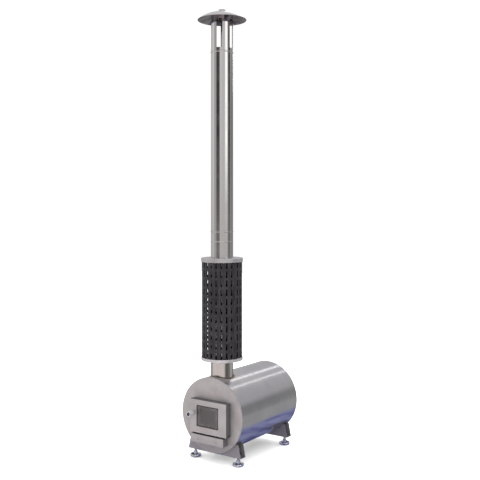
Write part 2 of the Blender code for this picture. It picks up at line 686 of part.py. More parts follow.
def make_cowl():
    bore = FLUE_R - FLUE_T
    male = bore - GAP
    top = cap_underside(FLUE_R) - 2 * GAP
    base = UPPER_PIPE_TOP + GAP
    cowl = turned("cowl_tube",
                  [(FLUE_R, top), (FLUE_R, base), (male, base), (male, base - SPIGOT_DEPTH),
                   (male - FLUE_T, base - SPIGOT_DEPTH), (male - FLUE_T, base + TAPER_LOW),
                   (bore, base + TAPER_HIGH), (bore, top)],
                  (0.0, FLUE_Y, 0.0), "flue", steps=FLUE_STEPS)
    for i in range(WINDOW_COUNT):
        azimuth = WINDOW_AZIMUTH + 2 * math.pi * i / WINDOW_COUNT
        opening = box(f"cowl_window_{i + 1}", (-WINDOW_WIDTH / 2, 0.03, WINDOW_LOW),
                      (WINDOW_WIDTH / 2, 0.09, WINDOW_HIGH))
        opening.rotation_euler = (0.0, 0.0, azimuth + math.pi)
        opening.location = (0.0, FLUE_Y, 0.0)
        cut(cowl, opening)


def make_cap():
    """The domed sheet with its turned-down edge, and the low button on top."""
    steps = 8
    radii = [CAP_R * i / steps for i in range(steps)]
    inside = CAP_R - CAP_T
    profile = [(radius, cap_top(radius)) for radius in radii]
    profile += [(CAP_R, CAP_RIM_Z), (CAP_R, CAP_RIM_Z - CAP_HEM), (inside, CAP_RIM_Z - CAP_HEM),
                (inside, cap_underside(inside))]
    profile += [(radius, cap_underside(radius)) for radius in reversed(radii)]
    turned("rain_cap", profile, (0.0, FLUE_Y, 0.0), "flue", closed=False, steps=CAP_STEPS)
    seat = cap_top(0.0) + GAP
    turned("cap_knob",
           [(0.0, KNOB_TOP_Z), (KNOB_R - 0.003, KNOB_TOP_Z), (KNOB_R, KNOB_TOP_Z - 0.002),
            (KNOB_R + 0.001, seat), (0.0, seat)],
           (0.0, FLUE_Y, 0.0), "flue", closed=False, steps=SMALL_STEPS)


# ---------------------------------------------------------------- heat guard
def make_guard():
    """Slotted sheet rolled into a tube, held between two end caps on the flue."""
    bottom = GUARD_LOW + GUARD_CAP_T + GAP
    top = GUARD_HIGH - GUARD_CAP_T - GAP
    first_row = (bottom + top) / 2 - SLOT_ROW_PITCH * (SLOT_ROWS - 1) / 2
    heights = [bottom]
    for row in range(SLOT_ROWS):
        middle = first_row + row * SLOT_ROW_PITCH
        heights += [middle - SLOT_HEIGHT / 2, middle + SLOT_HEIGHT / 2]
    heights.append(top)

    first_slot = SEAM_AZIMUTH + (2 * math.pi - SLOT_PITCH * (SLOT_COLUMNS - 1)) / 2
    azimuths = []
    for column in range(SLOT_COLUMNS):
        middle = first_slot + column * SLOT_PITCH
        azimuths += [middle - SLOT_ANGLE / 2, middle + SLOT_ANGLE / 2]

    columns, rows = len(azimuths), len(heights)
    shape = bmesh.new()
    bmesh.ops.create_grid(shape, x_segments=columns, y_segments=rows - 1, size=0.5)
    slots = []
    for face in shape.faces:
        centre = face.calc_center_median()
        column = math.floor((centre.x + 0.5) * columns)
        row = math.floor((centre.y + 0.5) * (rows - 1))
        if column % 2 == 0 and row % 2 == 1:
            slots.append(face)
    bmesh.ops.delete(shape, geom=slots, context="FACES")
    for vertex in shape.verts:
        column = round((vertex.co.x + 0.5) * columns)
        row = round((vertex.co.y + 0.5) * (rows - 1))
        azimuth = azimuths[column % columns]
        vertex.co = (GUARD_R * math.sin(azimuth), -GUARD_R * math.cos(azimuth), heights[row])
    bmesh.ops.remove_doubles(shape, verts=shape.verts, dist=0.00001)
    mesh = bpy.data.meshes.new("guard_shell")
    shape.to_mesh(mesh)
    shape.free()
    guard = put("guard_shell", mesh, "guard")
    guard.location = (0.0, FLUE_Y, 0.0)
    wall = guard.modifiers.new("wall", "SOLIDIFY")
    wall.thickness = GUARD_T
    wall.offset = -1.0

    neck = FLUE_R + GAP
    lip = GUARD_R + GAP
    turned("guard_top_cap",
           [(neck, GUARD_HIGH), (GUARD_CAP_R - GUARD_CAP_EDGE, GUARD_HIGH),
            (GUARD_CAP_R, GUARD_HIGH - GUARD_CAP_EDGE), (GUARD_CAP_R, GUARD_HIGH - TOP_CAP_RIM),
            (lip, GUARD_HIGH - TOP_CAP_RIM), (lip, GUARD_HIGH - GUARD_CAP_T),
            (neck, GUARD_HIGH - GUARD_CAP_T)],
           (0.0, FLUE_Y, 0.0), "brushed", steps=TUBE_STEPS)
    turned("guard_bottom_cap",
           [(lip, GUARD_LOW + BOTTOM_CAP_RIM), (GUARD_CAP_R, GUARD_LOW + BOTTOM_CAP_RIM),
            (GUARD_CAP_R, GUARD_LOW + GUARD_CAP_EDGE), (GUARD_CAP_R - GUARD_CAP_EDGE, GUARD_LOW),
            (neck, GUARD_LOW), (neck, GUARD_LOW + GUARD_CAP_T), (lip, GUARD_LOW + GUARD_CAP_T)],
           (0.0, FLUE_Y, 0.0), "brushed", steps=TUBE_STEPS)


# ---------------------------------------------------------------- build
for old in list(bpy.data.objects):
    bpy.data.objects.remove(old, do_unlink=True)
PARTS = new_collection("outdoor_heater")
CUTTERS = new_collection("cutters")

make_drum()
make_connections()
make_grate()
make_ash_drawer()
make_door()
make_stand()
make_flue()
make_guard()
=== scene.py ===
import math

import bmesh
import bpy
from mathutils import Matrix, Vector


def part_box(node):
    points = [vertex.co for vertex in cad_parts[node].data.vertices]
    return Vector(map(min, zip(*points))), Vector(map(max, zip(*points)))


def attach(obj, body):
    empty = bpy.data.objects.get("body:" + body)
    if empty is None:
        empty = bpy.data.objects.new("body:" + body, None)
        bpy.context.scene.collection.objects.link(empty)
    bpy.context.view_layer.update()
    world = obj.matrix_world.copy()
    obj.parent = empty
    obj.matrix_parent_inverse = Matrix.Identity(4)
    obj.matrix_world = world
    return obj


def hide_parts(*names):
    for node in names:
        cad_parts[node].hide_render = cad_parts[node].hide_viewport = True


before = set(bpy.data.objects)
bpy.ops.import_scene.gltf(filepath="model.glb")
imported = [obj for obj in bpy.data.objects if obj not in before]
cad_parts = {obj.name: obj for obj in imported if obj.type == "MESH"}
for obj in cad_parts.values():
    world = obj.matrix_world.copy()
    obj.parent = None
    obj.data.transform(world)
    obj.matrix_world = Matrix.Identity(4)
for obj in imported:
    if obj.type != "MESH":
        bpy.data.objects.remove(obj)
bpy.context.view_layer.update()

# ---------------------------------------------------------------- places read from the frame
shell_low, shell_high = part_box("outer_shell")
face_low, face_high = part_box("front_plate")
rear_low, rear_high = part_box("rear_plate")
stub_low, stub_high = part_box("flue_stub")
guard_low, guard_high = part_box("guard_shell")
door_low, door_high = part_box("door_panel")
glass_low, glass_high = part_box("door_glass")
drawer_low, drawer_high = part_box("drawer_front")

DRUM_R = (shell_high.x - shell_low.x) / 2
DRUM_Z = (shell_high.z + shell_low.z) / 2
FRONT_Y = face_low.y
REAR_Y = rear_high.y
FLUE = Vector((0.0, (stub_low.y + stub_high.y) / 2, 0.0))
FLUE_R = (stub_high.x - stub_low.x) / 2
FLUE_T = 0.002
GAP = 0.0003        # between pieces that touch
ON_AXIS = 1e-6      # a smaller radius is a point on the axis
PAST = 0.01         # how far a cutter runs past what it cuts
FLUE_CUT_TOP = 0.7     # above the drum, where cutters for the flue end
SPIGOT_R = FLUE_R - FLUE_T - GAP
GUARD_R = (guard_high.x - guard_low.x) / 2
AXIS = Vector((0.0, 0.0, DRUM_Z))

# The guard's slots and the cowl's windows, as the solids have them.
SLOT_COLUMNS = 24
SLOT_PITCH = math.radians(14.75)
SLOT_ANGLE = math.radians(4.7)
SLOT_ROWS = 11
SLOT_ROW_PITCH = 0.0475
SLOT_HEIGHT = 0.035
SEAM_AZIMUTH = math.radians(74.6)
COWL_WINDOWS = 5
COWL_WINDOW_WIDTH = 0.032
COWL_WINDOW_LOW = 2.188
COWL_WINDOW_HIGH = 2.342
COWL_WINDOW_AZIMUTH = math.radians(23.2)
DOOR_WINDOW = (-0.067, 0.075, 0.1935, 0.3055)
PAN_T = 0.002
SADDLE_T = 0.003
FOOT_X = 0.141

# ---------------------------------------------------------------- camera
CAMERA_AZIMUTH = math.radians(35.26)
CAMERA_DISTANCE = 4.1245
CAMERA_SIDE = 0.0961
EYE_HEIGHT = 1.352
TOWARDS = Vector((math.sin(CAMERA_AZIMUTH), -math.cos(CAMERA_AZIMUTH), 0.0))
RIGHTWARDS = Vector((math.cos(CAMERA_AZIMUTH), math.sin(CAMERA_AZIMUTH), 0.0))


def make_camera():
    lens = bpy.data.cameras.new("camera")
    lens.sensor_width = 36.0
    lens.lens = 57.880
    lens.shift_y = -0.0720
    camera = bpy.data.objects.new("camera", lens)
    bpy.context.scene.collection.objects.link(camera)
    camera.location = (FLUE + TOWARDS * CAMERA_DISTANCE + RIGHTWARDS * CAMERA_SIDE
        + Vector((0.0, 0.0, EYE_HEIGHT)))
    camera.rotation_euler = (math.pi / 2, 0.0, CAMERA_AZIMUTH)
    bpy.context.scene.camera = camera


make_camera()


# ---------------------------------------------------------------- node helpers
class Graph:
    """The nodes of a material or a world, with short calls that add and join them."""

    def __init__(self, tree):
        self.tree = tree

    def add(self, kind, inputs=(), **settings):
        node = self.tree.nodes.new("ShaderNode" + kind)
        for key, value in settings.items():
            setattr(node, key, value)
        for slot, value in dict(inputs).items():
            self.give(node.inputs[slot], value)
        return node

    def give(self, socket, value):
        if isinstance(value, bpy.types.NodeSocket):
            self.tree.links.new(value, socket)
        else:
            socket.default_value = value

    def math(self, operation, first, second=0.0, third=0.0):
        node = self.add("Math", {0: first, 1: second, 2: third}, operation=operation)
        return node.outputs[0]

    def times(self, first, second):
        return self.math("MULTIPLY", first, second)

    def plus(self, first, second):
        return self.math("ADD", first, second)

    def minus(self, first, second):
        return self.math("SUBTRACT", first, second)

    def spread(self, value, low, high, to_low=0.0, to_high=1.0):
        """A smooth change of a value from one range to another."""
        node = self.add("MapRange", {0: value, 1: low, 2: high, 3: to_low, 4: to_high},
            interpolation_type="SMOOTHSTEP")
        return node.outputs[0]

    def mix(self, factor, first, second):
        node = self.add("Mix", {0: factor, 6: colour(first), 7: colour(second)}, data_type="RGBA")
        return node.outputs[2]

    def blend(self, value, low, high, first, second):
        """A mix whose factor is a value spread over a range."""
        return self.mix(self.spread(value, low, high), first, second)

    def facing(self, axis):
        """One part of the surface's normal."""
        normal = self.add("NewGeometry").outputs["Normal"]
        return self.add("SeparateXYZ", {0: normal}).outputs[axis]

    def stretch(self, vector, scale):
        return self.add("VectorMath", {0: vector, 1: scale}, operation="MULTIPLY").outputs[0]

    def join(self, x, y, z):
        return self.add("CombineXYZ", {0: x, 1: y, 2: z}).outputs[0]

    def noise(self, vector, scale=1.0, detail=3.0, roughness=0.5):
        node = self.add("TexNoise", {"Vector": vector, "Scale": scale, "Detail": detail,
            "Roughness": roughness})
        return node.outputs[0]

    def ramp(self, factor, stops):
        node = self.add("ValToRGB", {0: factor})
        band = node.color_ramp
        while len(band.elements) < len(stops):
            band.elements.new(1.0)
        for element, (place, tone) in zip(band.elements, stops):
            element.position = place
        for element, (place, tone) in zip(band.elements, stops):
            element.color = colour(tone)
        return node.outputs[0]


def colour(value):
    """A colour from a grey level, three channels, or a socket passed through."""
    if isinstance(value, bpy.types.NodeSocket):
        return value
    if isinstance(value, (int, float)):
        return (value, value, value, 1.0)
    return (*value, 1.0) if len(value) == 3 else value


class Finish(Graph):
    """A Principled material whose nodes work in metres, in the heater's own frame."""

    def __init__(self, name, metallic=1.0, specular=0.5):
        self.material = bpy.data.materials.new(name)
        self.material.use_nodes = True
        super().__init__(self.material.node_tree)
        self.shader = self.tree.nodes["Principled BSDF"]
        self.shader.inputs["Metallic"].default_value = metallic
        self.shader.inputs["Specular IOR Level"].default_value = specular
        self.here = self.add("TexCoord").outputs["Object"]
        parts = self.add("SeparateXYZ", {0: self.here})
        self.x, self.y, self.z = parts.outputs

    def set(self, slot, value):
        self.give(self.shader.inputs[slot], value)

    def around(self, axis):
        """The turn about the flue's or the drum's axis, in radians."""
        if axis == "Z":
            return self.math("ARCTAN2", self.x, self.minus(FLUE.y, self.y))
        return self.math("ARCTAN2", self.x, self.minus(self.z, DRUM_Z))

    def flue_distance(self):
        """How far a point is from the flue's axis."""
        return self.add("VectorMath", {0: self.join(self.x, self.minus(self.y, FLUE.y), 0.0)},
            operation="LENGTH").outputs["Value"]

    def bump(self, *layers):
        """Layers of (height, distance in metres, strength), one on the other."""
        normal = None
        for height, distance, strength in layers:
            node = self.add("Bump", {"Height": height, "Distance": distance, "Strength": strength})
            if normal is not None:
                self.give(node.inputs["Normal"], normal)
            normal = node.outputs[0]
        self.set("Normal", normal)

    def done(self, base, rough, *layers):
        """Set colour, roughness and bump layers, and give the material."""
        self.set("Base Color", base)
        self.set("Roughness", rough)
        self.bump(*layers)
        return self.material


# ---------------------------------------------------------------- materials
def drum_steel():
    """Stainless brushed around the drum, with a straw and brown heat tint at the flue."""
    made = Finish("drum_steel")
    turn = made.around("Y")
    fine = made.noise(made.join(made.times(turn, 1.6), made.times(made.y, 1500.0), 0.0), detail=4.0)
    broad = made.noise(made.join(made.times(turn, 0.7), made.times(made.y, 130.0), 0.0), detail=2.0)
    cloud = made.noise(made.here, scale=5.0, detail=3.0)
    plain = made.blend(cloud, 0.35, 0.65, (0.475, 0.470, 0.490), (0.540, 0.530, 0.535))
    lined = made.blend(fine, 0.3, 0.7, plain, made.mix(0.20, plain, (0.24, 0.235, 0.245)))
    near = made.flue_distance()
    tint = made.ramp(made.spread(near, 0.058, 0.088),
        [(0.0, (0.13, 0.105, 0.095)), (0.22, (0.25, 0.20, 0.17)), (0.42, (0.47, 0.42, 0.38)),
        (0.62, (0.53, 0.50, 0.47)), (1.0, (0.51, 0.50, 0.51))])
    on_top = made.times(made.spread(near, 0.088, 0.078), made.math("GREATER_THAN", made.z, DRUM_Z))
    return made.done(made.mix(on_top, lined, tint),
        made.plus(made.spread(fine, 0.2, 0.8, 0.13, 0.22), made.spread(cloud, 0.3, 0.7, -0.02, 0.05)),
        (cloud, 0.0012, 0.28), (broad, 0.0002, 0.22), (fine, 0.00006, 0.30))


def face_steel(name="face_steel", warm=(0.348, 0.322, 0.325), painted_shade_sides=True):
    """Fine linear brushing on flat sheet, warm grey and a little cloudy, with painted shade on its side
    faces and folds and painted shade towards the bottom.
    """
    made = Finish(name, metallic=0.60)
    scale = (7.0, 30.0, 1400.0)
    fine = made.noise(made.stretch(made.here, scale), detail=4.0)
    broad = made.noise(made.stretch(made.here, tuple(part / 9 for part in scale)), detail=2.0)
    cloud = made.noise(made.here, scale=16.0, detail=5.0, roughness=0.6)
    dull = tuple(part * 0.84 for part in warm)
    plain = made.blend(cloud, 0.36, 0.64, dull, warm)
    plain = made.mix(made.spread(fine, 0.3, 0.75, 0.0, 0.45), plain, dull)
    if painted_shade_sides:
        # painted shade: faces that turn away from front and back, such as the door's and drawer's
        # sides, are made dark
        side = made.spread(made.math("ABSOLUTE", made.facing(1)), 0.75, 0.35)
        plain = made.mix(side, plain, made.mix(cloud, (0.085, 0.083, 0.088), (0.125, 0.120, 0.125)))
    # painted shade: darker towards the bottom, where the drum shades the plate and the saddles
    low = made.spread(made.z, 0.17, 0.07, 0.0, 0.55)
    return made.done(made.mix(low, plain, (0.20, 0.185, 0.20)),
        made.plus(made.spread(fine, 0.2, 0.8, 0.36, 0.50), made.spread(cloud, 0.3, 0.7, -0.03, 0.05)),
        (cloud, 0.0010, 0.07), (broad, 0.0001, 0.3), (fine, 0.00005, 0.35))


def flue_steel(name="flue_steel", warm=(0.640, 0.620, 0.610), rough=0.085, dark_below=False):
    """Polished sheet: drawing lines along the flue and slow waves that bend its reflections."""
    made = Finish(name)
    drawn = made.noise(made.stretch(made.here, (420.0, 420.0, 1.2)), detail=1.0)
    waves = made.noise(made.stretch(made.here, (22.0, 22.0, 0.35)), detail=1.0)
    smudge = made.noise(made.here, scale=14.0, detail=4.0)
    dark = tuple(part * 0.80 for part in warm)
    plain = made.mix(made.spread(drawn, 0.3, 0.75, 0.0, 0.4), warm, dark)
    if dark_below:
        # darker and mottled on faces that turn downward
        down = made.spread(made.facing(2), 0.1, -0.5)
        soot = made.blend(smudge, 0.35, 0.65, (0.145, 0.125, 0.135), (0.39, 0.36, 0.38))
        plain = made.mix(down, plain, soot)
    else:
        soot = made.spread(made.z, 0.60, 0.43, 0.0, 0.35)
        plain = made.mix(soot, plain, (0.56, 0.50, 0.45))
        # painted shade: over the guard's height the pipe is made dark and mottled, more so higher up
        guard_shade_mask = made.times(made.spread(made.z, 0.530, 0.545), made.spread(made.z, 1.068, 1.050))
        shade_mottle = made.blend(smudge, 0.35, 0.62, (0.050, 0.043, 0.040), (0.200, 0.165, 0.135))
        depth = made.spread(made.z, 0.60, 0.84, 0.50, 0.95)
        plain = made.mix(made.times(guard_shade_mask, depth), plain, shade_mottle)
    return made.done(plain, made.plus(made.spread(smudge, 0.35, 0.7, rough, rough + 0.07),
        made.spread(drawn, 0.3, 0.7, 0.0, 0.03)), (waves, 0.0007, 0.14), (drawn, 0.00003, 0.08))


def cap_steel():
    """The guard's end caps: lightly brushed around the flue."""
    made = Finish("cap_steel", metallic=0.82)
    fine = made.noise(made.join(made.times(made.around("Z"), 2.2), made.times(made.z, 1100.0),
        made.times(made.flue_distance(), 1100.0)), detail=3.0)
    cloud = made.noise(made.here, scale=22.0, detail=3.0)
    plain = made.blend(cloud, 0.35, 0.65, (0.54, 0.53, 0.545), (0.66, 0.645, 0.66))
    plain = made.blend(made.z, 0.6, 1.0, plain, (0.43, 0.42, 0.43))
    return made.done(made.mix(made.spread(fine, 0.3, 0.7, 0.0, 0.35), plain, (0.36, 0.35, 0.36)),
        made.spread(fine, 0.2, 0.8, 0.30, 0.44), (cloud, 0.0008, 0.2), (fine, 0.00006, 0.3))


def guard_paint():
    """Satin black heat-resistant paint with a faint orange peel, dust and rubbed spots."""
    made = Finish("guard_paint", metallic=0.0, specular=0.28)
    peel = made.noise(made.here, scale=900.0, detail=2.0)
    dust = made.noise(made.stretch(made.here, (60.0, 60.0, 16.0)), detail=5.0, roughness=0.65)
    plain = made.blend(dust, 0.35, 0.72, (0.0092, 0.0084, 0.0104), (0.0225, 0.0203, 0.0248))
    return made.done(plain, made.spread(dust, 0.3, 0.7, 0.34, 0.50), (peel, 0.00012, 0.35))


def inner_steel():
    """Plain steel darkened by fire: soot clouds over a dull blue-brown plate."""
    made = Finish("inner_steel", metallic=0.65)
    soot = made.noise(made.here, scale=16.0, detail=6.0, roughness=0.62)
    scale = made.noise(made.here, scale=240.0, detail=3.0)
    plate = made.blend(scale, 0.35, 0.65, (0.17, 0.15, 0.14), (0.25, 0.235, 0.225))
    return made.done(made.blend(soot, 0.36, 0.60, (0.028, 0.026, 0.025), plate),
        made.spread(soot, 0.35, 0.65, 0.86, 0.50), (soot, 0.0010, 0.25), (scale, 0.00025, 0.45))


def grate_iron():
    """Raw grey casting with sand grain, rust in the hollows and pale ash on top."""
    made = Finish("grate_iron", metallic=0.35)
    sand = made.noise(made.here, scale=520.0, detail=4.0, roughness=0.6)
    rust = made.noise(made.here, scale=34.0, detail=5.0, roughness=0.6)
    upward = made.spread(made.facing(2), 0.4, 0.95)
    iron = made.blend(rust, 0.45, 0.68, (0.052, 0.049, 0.047), (0.135, 0.066, 0.036))
    ash = made.times(upward, made.spread(rust, 0.60, 0.38, 0.0, 0.55))
    return made.done(made.mix(ash, iron, (0.31, 0.30, 0.285)), made.spread(sand, 0.3, 0.7, 0.68, 0.92),
        (rust, 0.0008, 0.3), (sand, 0.0004, 0.6))


def fire_glass():
    """Clear ceramic glass with a dark printed border and a breath of soot."""
    made = Finish("fire_glass", metallic=0.0)
    left, right, low, high = DOOR_WINDOW
    edge = made.math("MINIMUM", made.math("MINIMUM", made.minus(made.x, left),
        made.minus(right, made.x)), made.math("MINIMUM", made.minus(made.z, low),
        made.minus(high, made.z)))
    smoke = made.noise(made.stretch(made.here, (18.0, 18.0, 9.0)), detail=6.0, roughness=0.6)
    border = made.spread(edge, 0.0078, 0.0064)
    haze = made.times(made.spread(edge, 0.040, 0.004), made.spread(smoke, 0.35, 0.65, 0.25, 0.8))
    cover = made.math("MAXIMUM", border, haze)
    made.set("Base Color", made.mix(border, made.mix(smoke, (0.055, 0.049, 0.050),
        (0.092, 0.083, 0.085)), (0.016, 0.015, 0.015)))
    made.set("Roughness", made.spread(smoke, 0.3, 0.7, 0.04, 0.14))
    made.set("Transmission Weight", made.spread(cover, 0.0, 1.0, 0.55, 0.0))
    made.shader.inputs["IOR"].default_value = 1.53
    return made.material


def rope_seal():
    """Knitted glass-fibre rope, grey with darker gaps between its strands."""
    made = Finish("rope_seal", metallic=0.0, specular=0.2)
    fibre = made.noise(made.stretch(made.here, (1500.0, 1500.0, 1500.0)), detail=3.0)
    stain = made.noise(made.here, scale=40.0, detail=4.0)
    plain = made.blend(fibre, 0.3, 0.7, (0.19, 0.18, 0.165), (0.42, 0.405, 0.38))
    return made.done(made.blend(stain, 0.5, 0.75, plain, (0.085, 0.078, 0.07)),
        made.spread(fibre, 0.3, 0.7, 0.85, 0.98), (fibre, 0.0003, 0.6))


def foot_chrome():
    """Bright plating with finger smudges, a little floor dust low down and painted shade in the pad's
    hollow.
    """
    made = Finish("foot_chrome")
    smudge = made.noise(made.here, scale=70.0, detail=4.0)
    dust = made.times(made.spread(made.z, 0.012, 0.0), made.spread(smudge, 0.4, 0.6))
    plated = made.mix(dust, (0.80, 0.80, 0.84), (0.52, 0.50, 0.48))
    # painted shade: upward faces low in the pad's hollow are made dark
    hollow_shade = made.times(made.spread(made.facing(2), 0.35, 0.7), made.spread(made.z, 0.0120, 0.0085))
    return made.done(made.mix(hollow_shade, plated, (0.10, 0.10, 0.13)),
        made.plus(made.spread(smudge, 0.35, 0.7, 0.07, 0.16), made.times(dust, 0.25)),
        (smudge, 0.0002, 0.15))


def fastener_steel():
    """Turned stainless: fine machining marks and slightly rubbed faces."""
    made = Finish("fastener_steel")
    marks = made.noise(made.stretch(made.here, (260.0, 2600.0, 260.0)), detail=3.0)
    worn = made.noise(made.here, scale=150.0, detail=3.0)
    return made.done(made.blend(worn, 0.35, 0.65, (0.43, 0.42, 0.42), (0.62, 0.61, 0.605)),
        made.spread(marks, 0.25, 0.75, 0.20, 0.38), (marks, 0.00008, 0.4))


def plug_brass():
    """Brass with a thin brown patina in patches."""
    made = Finish("plug_brass")
    patina = made.noise(made.here, scale=120.0, detail=4.0)
    return made.done(made.blend(patina, 0.4, 0.65, (0.66, 0.47, 0.20), (0.33, 0.21, 0.10)),
        made.spread(patina, 0.35, 0.65, 0.24, 0.48), (patina, 0.0002, 0.3))


def weld_steel(name="weld_steel", brown=0.0):
    """Weld metal: rippled, with straw, brown and blue oxide colours."""
    made = Finish(name)
    patch = made.noise(made.here, scale=55.0, detail=3.0)
    grain = made.noise(made.here, scale=700.0, detail=2.0)
    oxide = made.ramp(patch, [(0.30, (0.44, 0.42, 0.43)), (0.45, (0.50, 0.42, 0.32)),
        (0.56, (0.30, 0.20, 0.15)), (0.68, (0.24, 0.24, 0.34))])
    return made.done(made.mix(brown, oxide, (0.15, 0.115, 0.10)),
        made.spread(grain, 0.3, 0.7, 0.26, 0.44), (grain, 0.00015, 0.4))


DRUM = drum_steel()
FACE = face_steel()
# painted shade: the saddles use a darker, slightly violet copy of the face steel
SADDLE = face_steel("saddle_steel_shaded", warm=(0.250, 0.236, 0.264))
PIPE = flue_steel()
CAP = flue_steel("cap_sheet", dark_below=True, rough=0.11)
RING = cap_steel()
GUARD = guard_paint()
INNER = inner_steel()
IRON = grate_iron()
GLASS = fire_glass()
ROPE = rope_seal()
CHROME = foot_chrome()
FASTENER = fastener_steel()
BRASS = plug_brass()
WELD = weld_steel()
HOT_WELD = weld_steel("stub_weld_steel", brown=0.72)


# ---------------------------------------------------------------- mesh helpers
def to_object(name, shape):
    """Link a bmesh as an object, with its faces pointing out."""
    bmesh.ops.recalc_face_normals(shape, faces=shape.faces)
    mesh = bpy.data.meshes.new(name)
    shape.to_mesh(mesh)
    shape.free()
    piece = bpy.data.objects.new(name, mesh)
    bpy.context.scene.collection.objects.link(piece)
    return piece


def place(piece, finish, body, slot, *nodes, smooth=32.0):
    """Finish a piece: shading, material, the body it rides on, what it stands for; its slot is not
    used.
    """
    piece.data.shade_smooth()
    piece.data.set_sharp_from_angle(angle=math.radians(smooth))
    piece.data.materials.clear()
    piece.data.materials.append(finish)
    even = piece.modifiers.new("even", "WEIGHTED_NORMAL")
    even.keep_sharp = True
    settle(piece)
    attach(piece, body)
    if nodes:
        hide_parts(*nodes)
    return piece


def rounded(points, radii, steps=4):
    """An outline with its corners rounded by one radius, or by one for each point."""
    made = []
    for i, corner in enumerate(points):
        radius = radii if isinstance(radii, float) else radii[i]
        corner = Vector(corner)
        if radius <= 0.0:
            made.append(tuple(corner))
            continue
        back = Vector(points[i - 1]) - corner
        onward = Vector(points[(i + 1) % len(points)]) - corner
        half = back.angle(onward) / 2
        trim = min(radius / math.tan(half), 0.49 * back.length, 0.49 * onward.length)
        reach = trim / math.cos(half)
        middle = corner + (back.normalized() + onward.normalized()).normalized() * reach
        start = corner + back.normalized() * trim - middle
        sweep_angle = start.angle_signed(corner + onward.normalized() * trim - middle)
        first = math.atan2(start.y, start.x)
        for step in range(steps + 1):
            angle = first - sweep_angle * step / steps
            made.append((middle.x + start.length * math.cos(angle),
                middle.y + start.length * math.sin(angle)))
    return made


def supported(profile, closed, near=0.003):
    """The profile with a point near both ends of each long run, which keeps its shading flat."""
    made = []
    for i, point in enumerate(profile):
        made.append(point)
        if i == len(profile) - 1 and not closed:
            break
        start, end = Vector(point), Vector(profile[(i + 1) % len(profile)])
        if (end - start).length > 8 * near:
            step = (end - start).normalized() * near
            made += [tuple(start + step), tuple(end - step)]
    return made


def lathe(name, profile, centre, axis="Z", steps=96, swell=None):
    """Turn (radius, height) points about an axis; swell adds to the radius by (turn, height).

    A profile that starts on the axis is open, and any other is closed.
    """
    closed = profile[0][0] > ON_AXIS
    shape = bmesh.new()
    rings = []
    for radius, height in supported(profile, closed):
        ring = []
        for step in range(steps if radius > ON_AXIS else 1):
            turn = 2 * math.pi * step / steps
            wide = radius + (swell(turn, height) if swell and radius > ON_AXIS else 0.0)
            across, up = wide * math.sin(turn), -wide * math.cos(turn)
            if axis == "Z":
                point = (centre.x + across, centre.y + up, height)
            else:
                point = (centre.x + across, height, centre.z - up)
            ring.append(shape.verts.new(point))
        rings.append(ring)
    pairs = list(zip(rings, rings[1:]))
    if closed:
        pairs.append((rings[-1], rings[0]))
    for one, two in pairs:
        for step in range(steps):
            corners = []
            for ring, shift in ((one, 0), (one, 1), (two, 1), (two, 0)):
                vertex = ring[(step + shift) % len(ring)]
                if vertex not in corners:
                    corners.append(vertex)
            if len(corners) > 2:
                shape.faces.new(corners)
    return to_object(name, shape)


def sweep(name, path, radius, up, sides=10, closed=True):
    """A tube along a path; radius is a number or a function of (distance, turn)."""
    shape = bmesh.new()
    up = Vector(up)
    count = len(path)
    rings = []
    distance = 0.0
    for i, point in enumerate(path):
        before = path[i - 1] if closed or i > 0 else path[0]
        after = path[(i + 1) % count] if closed or i < count - 1 else path[-1]
        along = (Vector(after) - Vector(before)).normalized()
        side = along.cross(up).normalized()
        over = side.cross(along)
        ring = []
        for k in range(sides):
            turn = 2 * math.pi * k / sides
            wide = radius(distance, turn) if callable(radius) else radius
            ring.append(shape.verts.new(Vector(point) + side * wide * math.cos(turn) + over * wide
                * math.sin(turn)))
        rings.append(ring)
        if i < count - 1:
            distance += (Vector(path[i + 1]) - Vector(point)).length
    pairs = list(zip(rings, rings[1:]))
    if closed:
        pairs.append((rings[-1], rings[0]))
    for one, two in pairs:
        for k in range(sides):
            shape.faces.new((one[k], one[(k + 1) % sides], two[(k + 1) % sides], two[k]))
    if not closed:
        shape.faces.new(rings[0])
        shape.faces.new(rings[-1])
    return to_object(name, shape)


def prism(name, outline, low, high, axis="Y"):
    """A closed outline extruded between two places along an axis."""
    shape = bmesh.new()
    ends = []
    for depth in (low, high):
        order = {"X": lambda u, v: (depth, u, v), "Y": lambda u, v: (u, depth, v), "Z": lambda u,
            v: (u, v, depth)}[axis]
        ends.append([shape.verts.new(order(u, v)) for u, v in outline])
    for end in ends:
        shape.faces.new(end)
    count = len(outline)
    for i in range(count):
        k = (i + 1) % count
        shape.faces.new((ends[0][i], ends[0][k], ends[1][k], ends[1][i]))
    return to_object(name, shape)


def frame_outline(left, right, low, high):
    return [(left, low), (right, low), (right, high), (left, high)]


def soften(piece, width, segments=2, angle=30.0):
    """Round a piece's edges, for good, where its faces meet at more than an angle."""
    bevel = piece.modifiers.new("edges", "BEVEL")
    bevel.width = width
    bevel.segments = segments
    bevel.limit_method = "ANGLE"
    bevel.angle_limit = math.radians(angle)
    settle(piece)
    return piece


def settle(piece):
    """Replace a piece's mesh by what its modifiers make of it."""
    bpy.context.view_layer.update()
    evaluated = piece.evaluated_get(bpy.context.evaluated_depsgraph_get())
    mesh = bpy.data.meshes.new_from_object(evaluated)
    piece.modifiers.clear()
    piece.data = mesh


def carve(piece, *cutters, operation="DIFFERENCE"):
    for cutter in cutters:
        boolean = piece.modifiers.new("carve", "BOOLEAN")
        boolean.operation = operation
        boolean.solver = "EXACT"
        boolean.object = cutter
    settle(piece)
    for cutter in cutters:
        bpy.data.objects.remove(cutter)
    return piece


def bored(centre, radius, low, high, axis="Y", steps=40):
    """A round cutter between two places along an axis."""
    return lathe("bore", [(0.0, low), (radius, low), (radius, high), (0.0, high)], centre, axis,
        steps=steps)


def measured(node):
    """A round solid's two corners, its middle and its radius."""
    low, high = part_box(node)
    return low, high, (low + high) / 2, (high.x - low.x) / 2


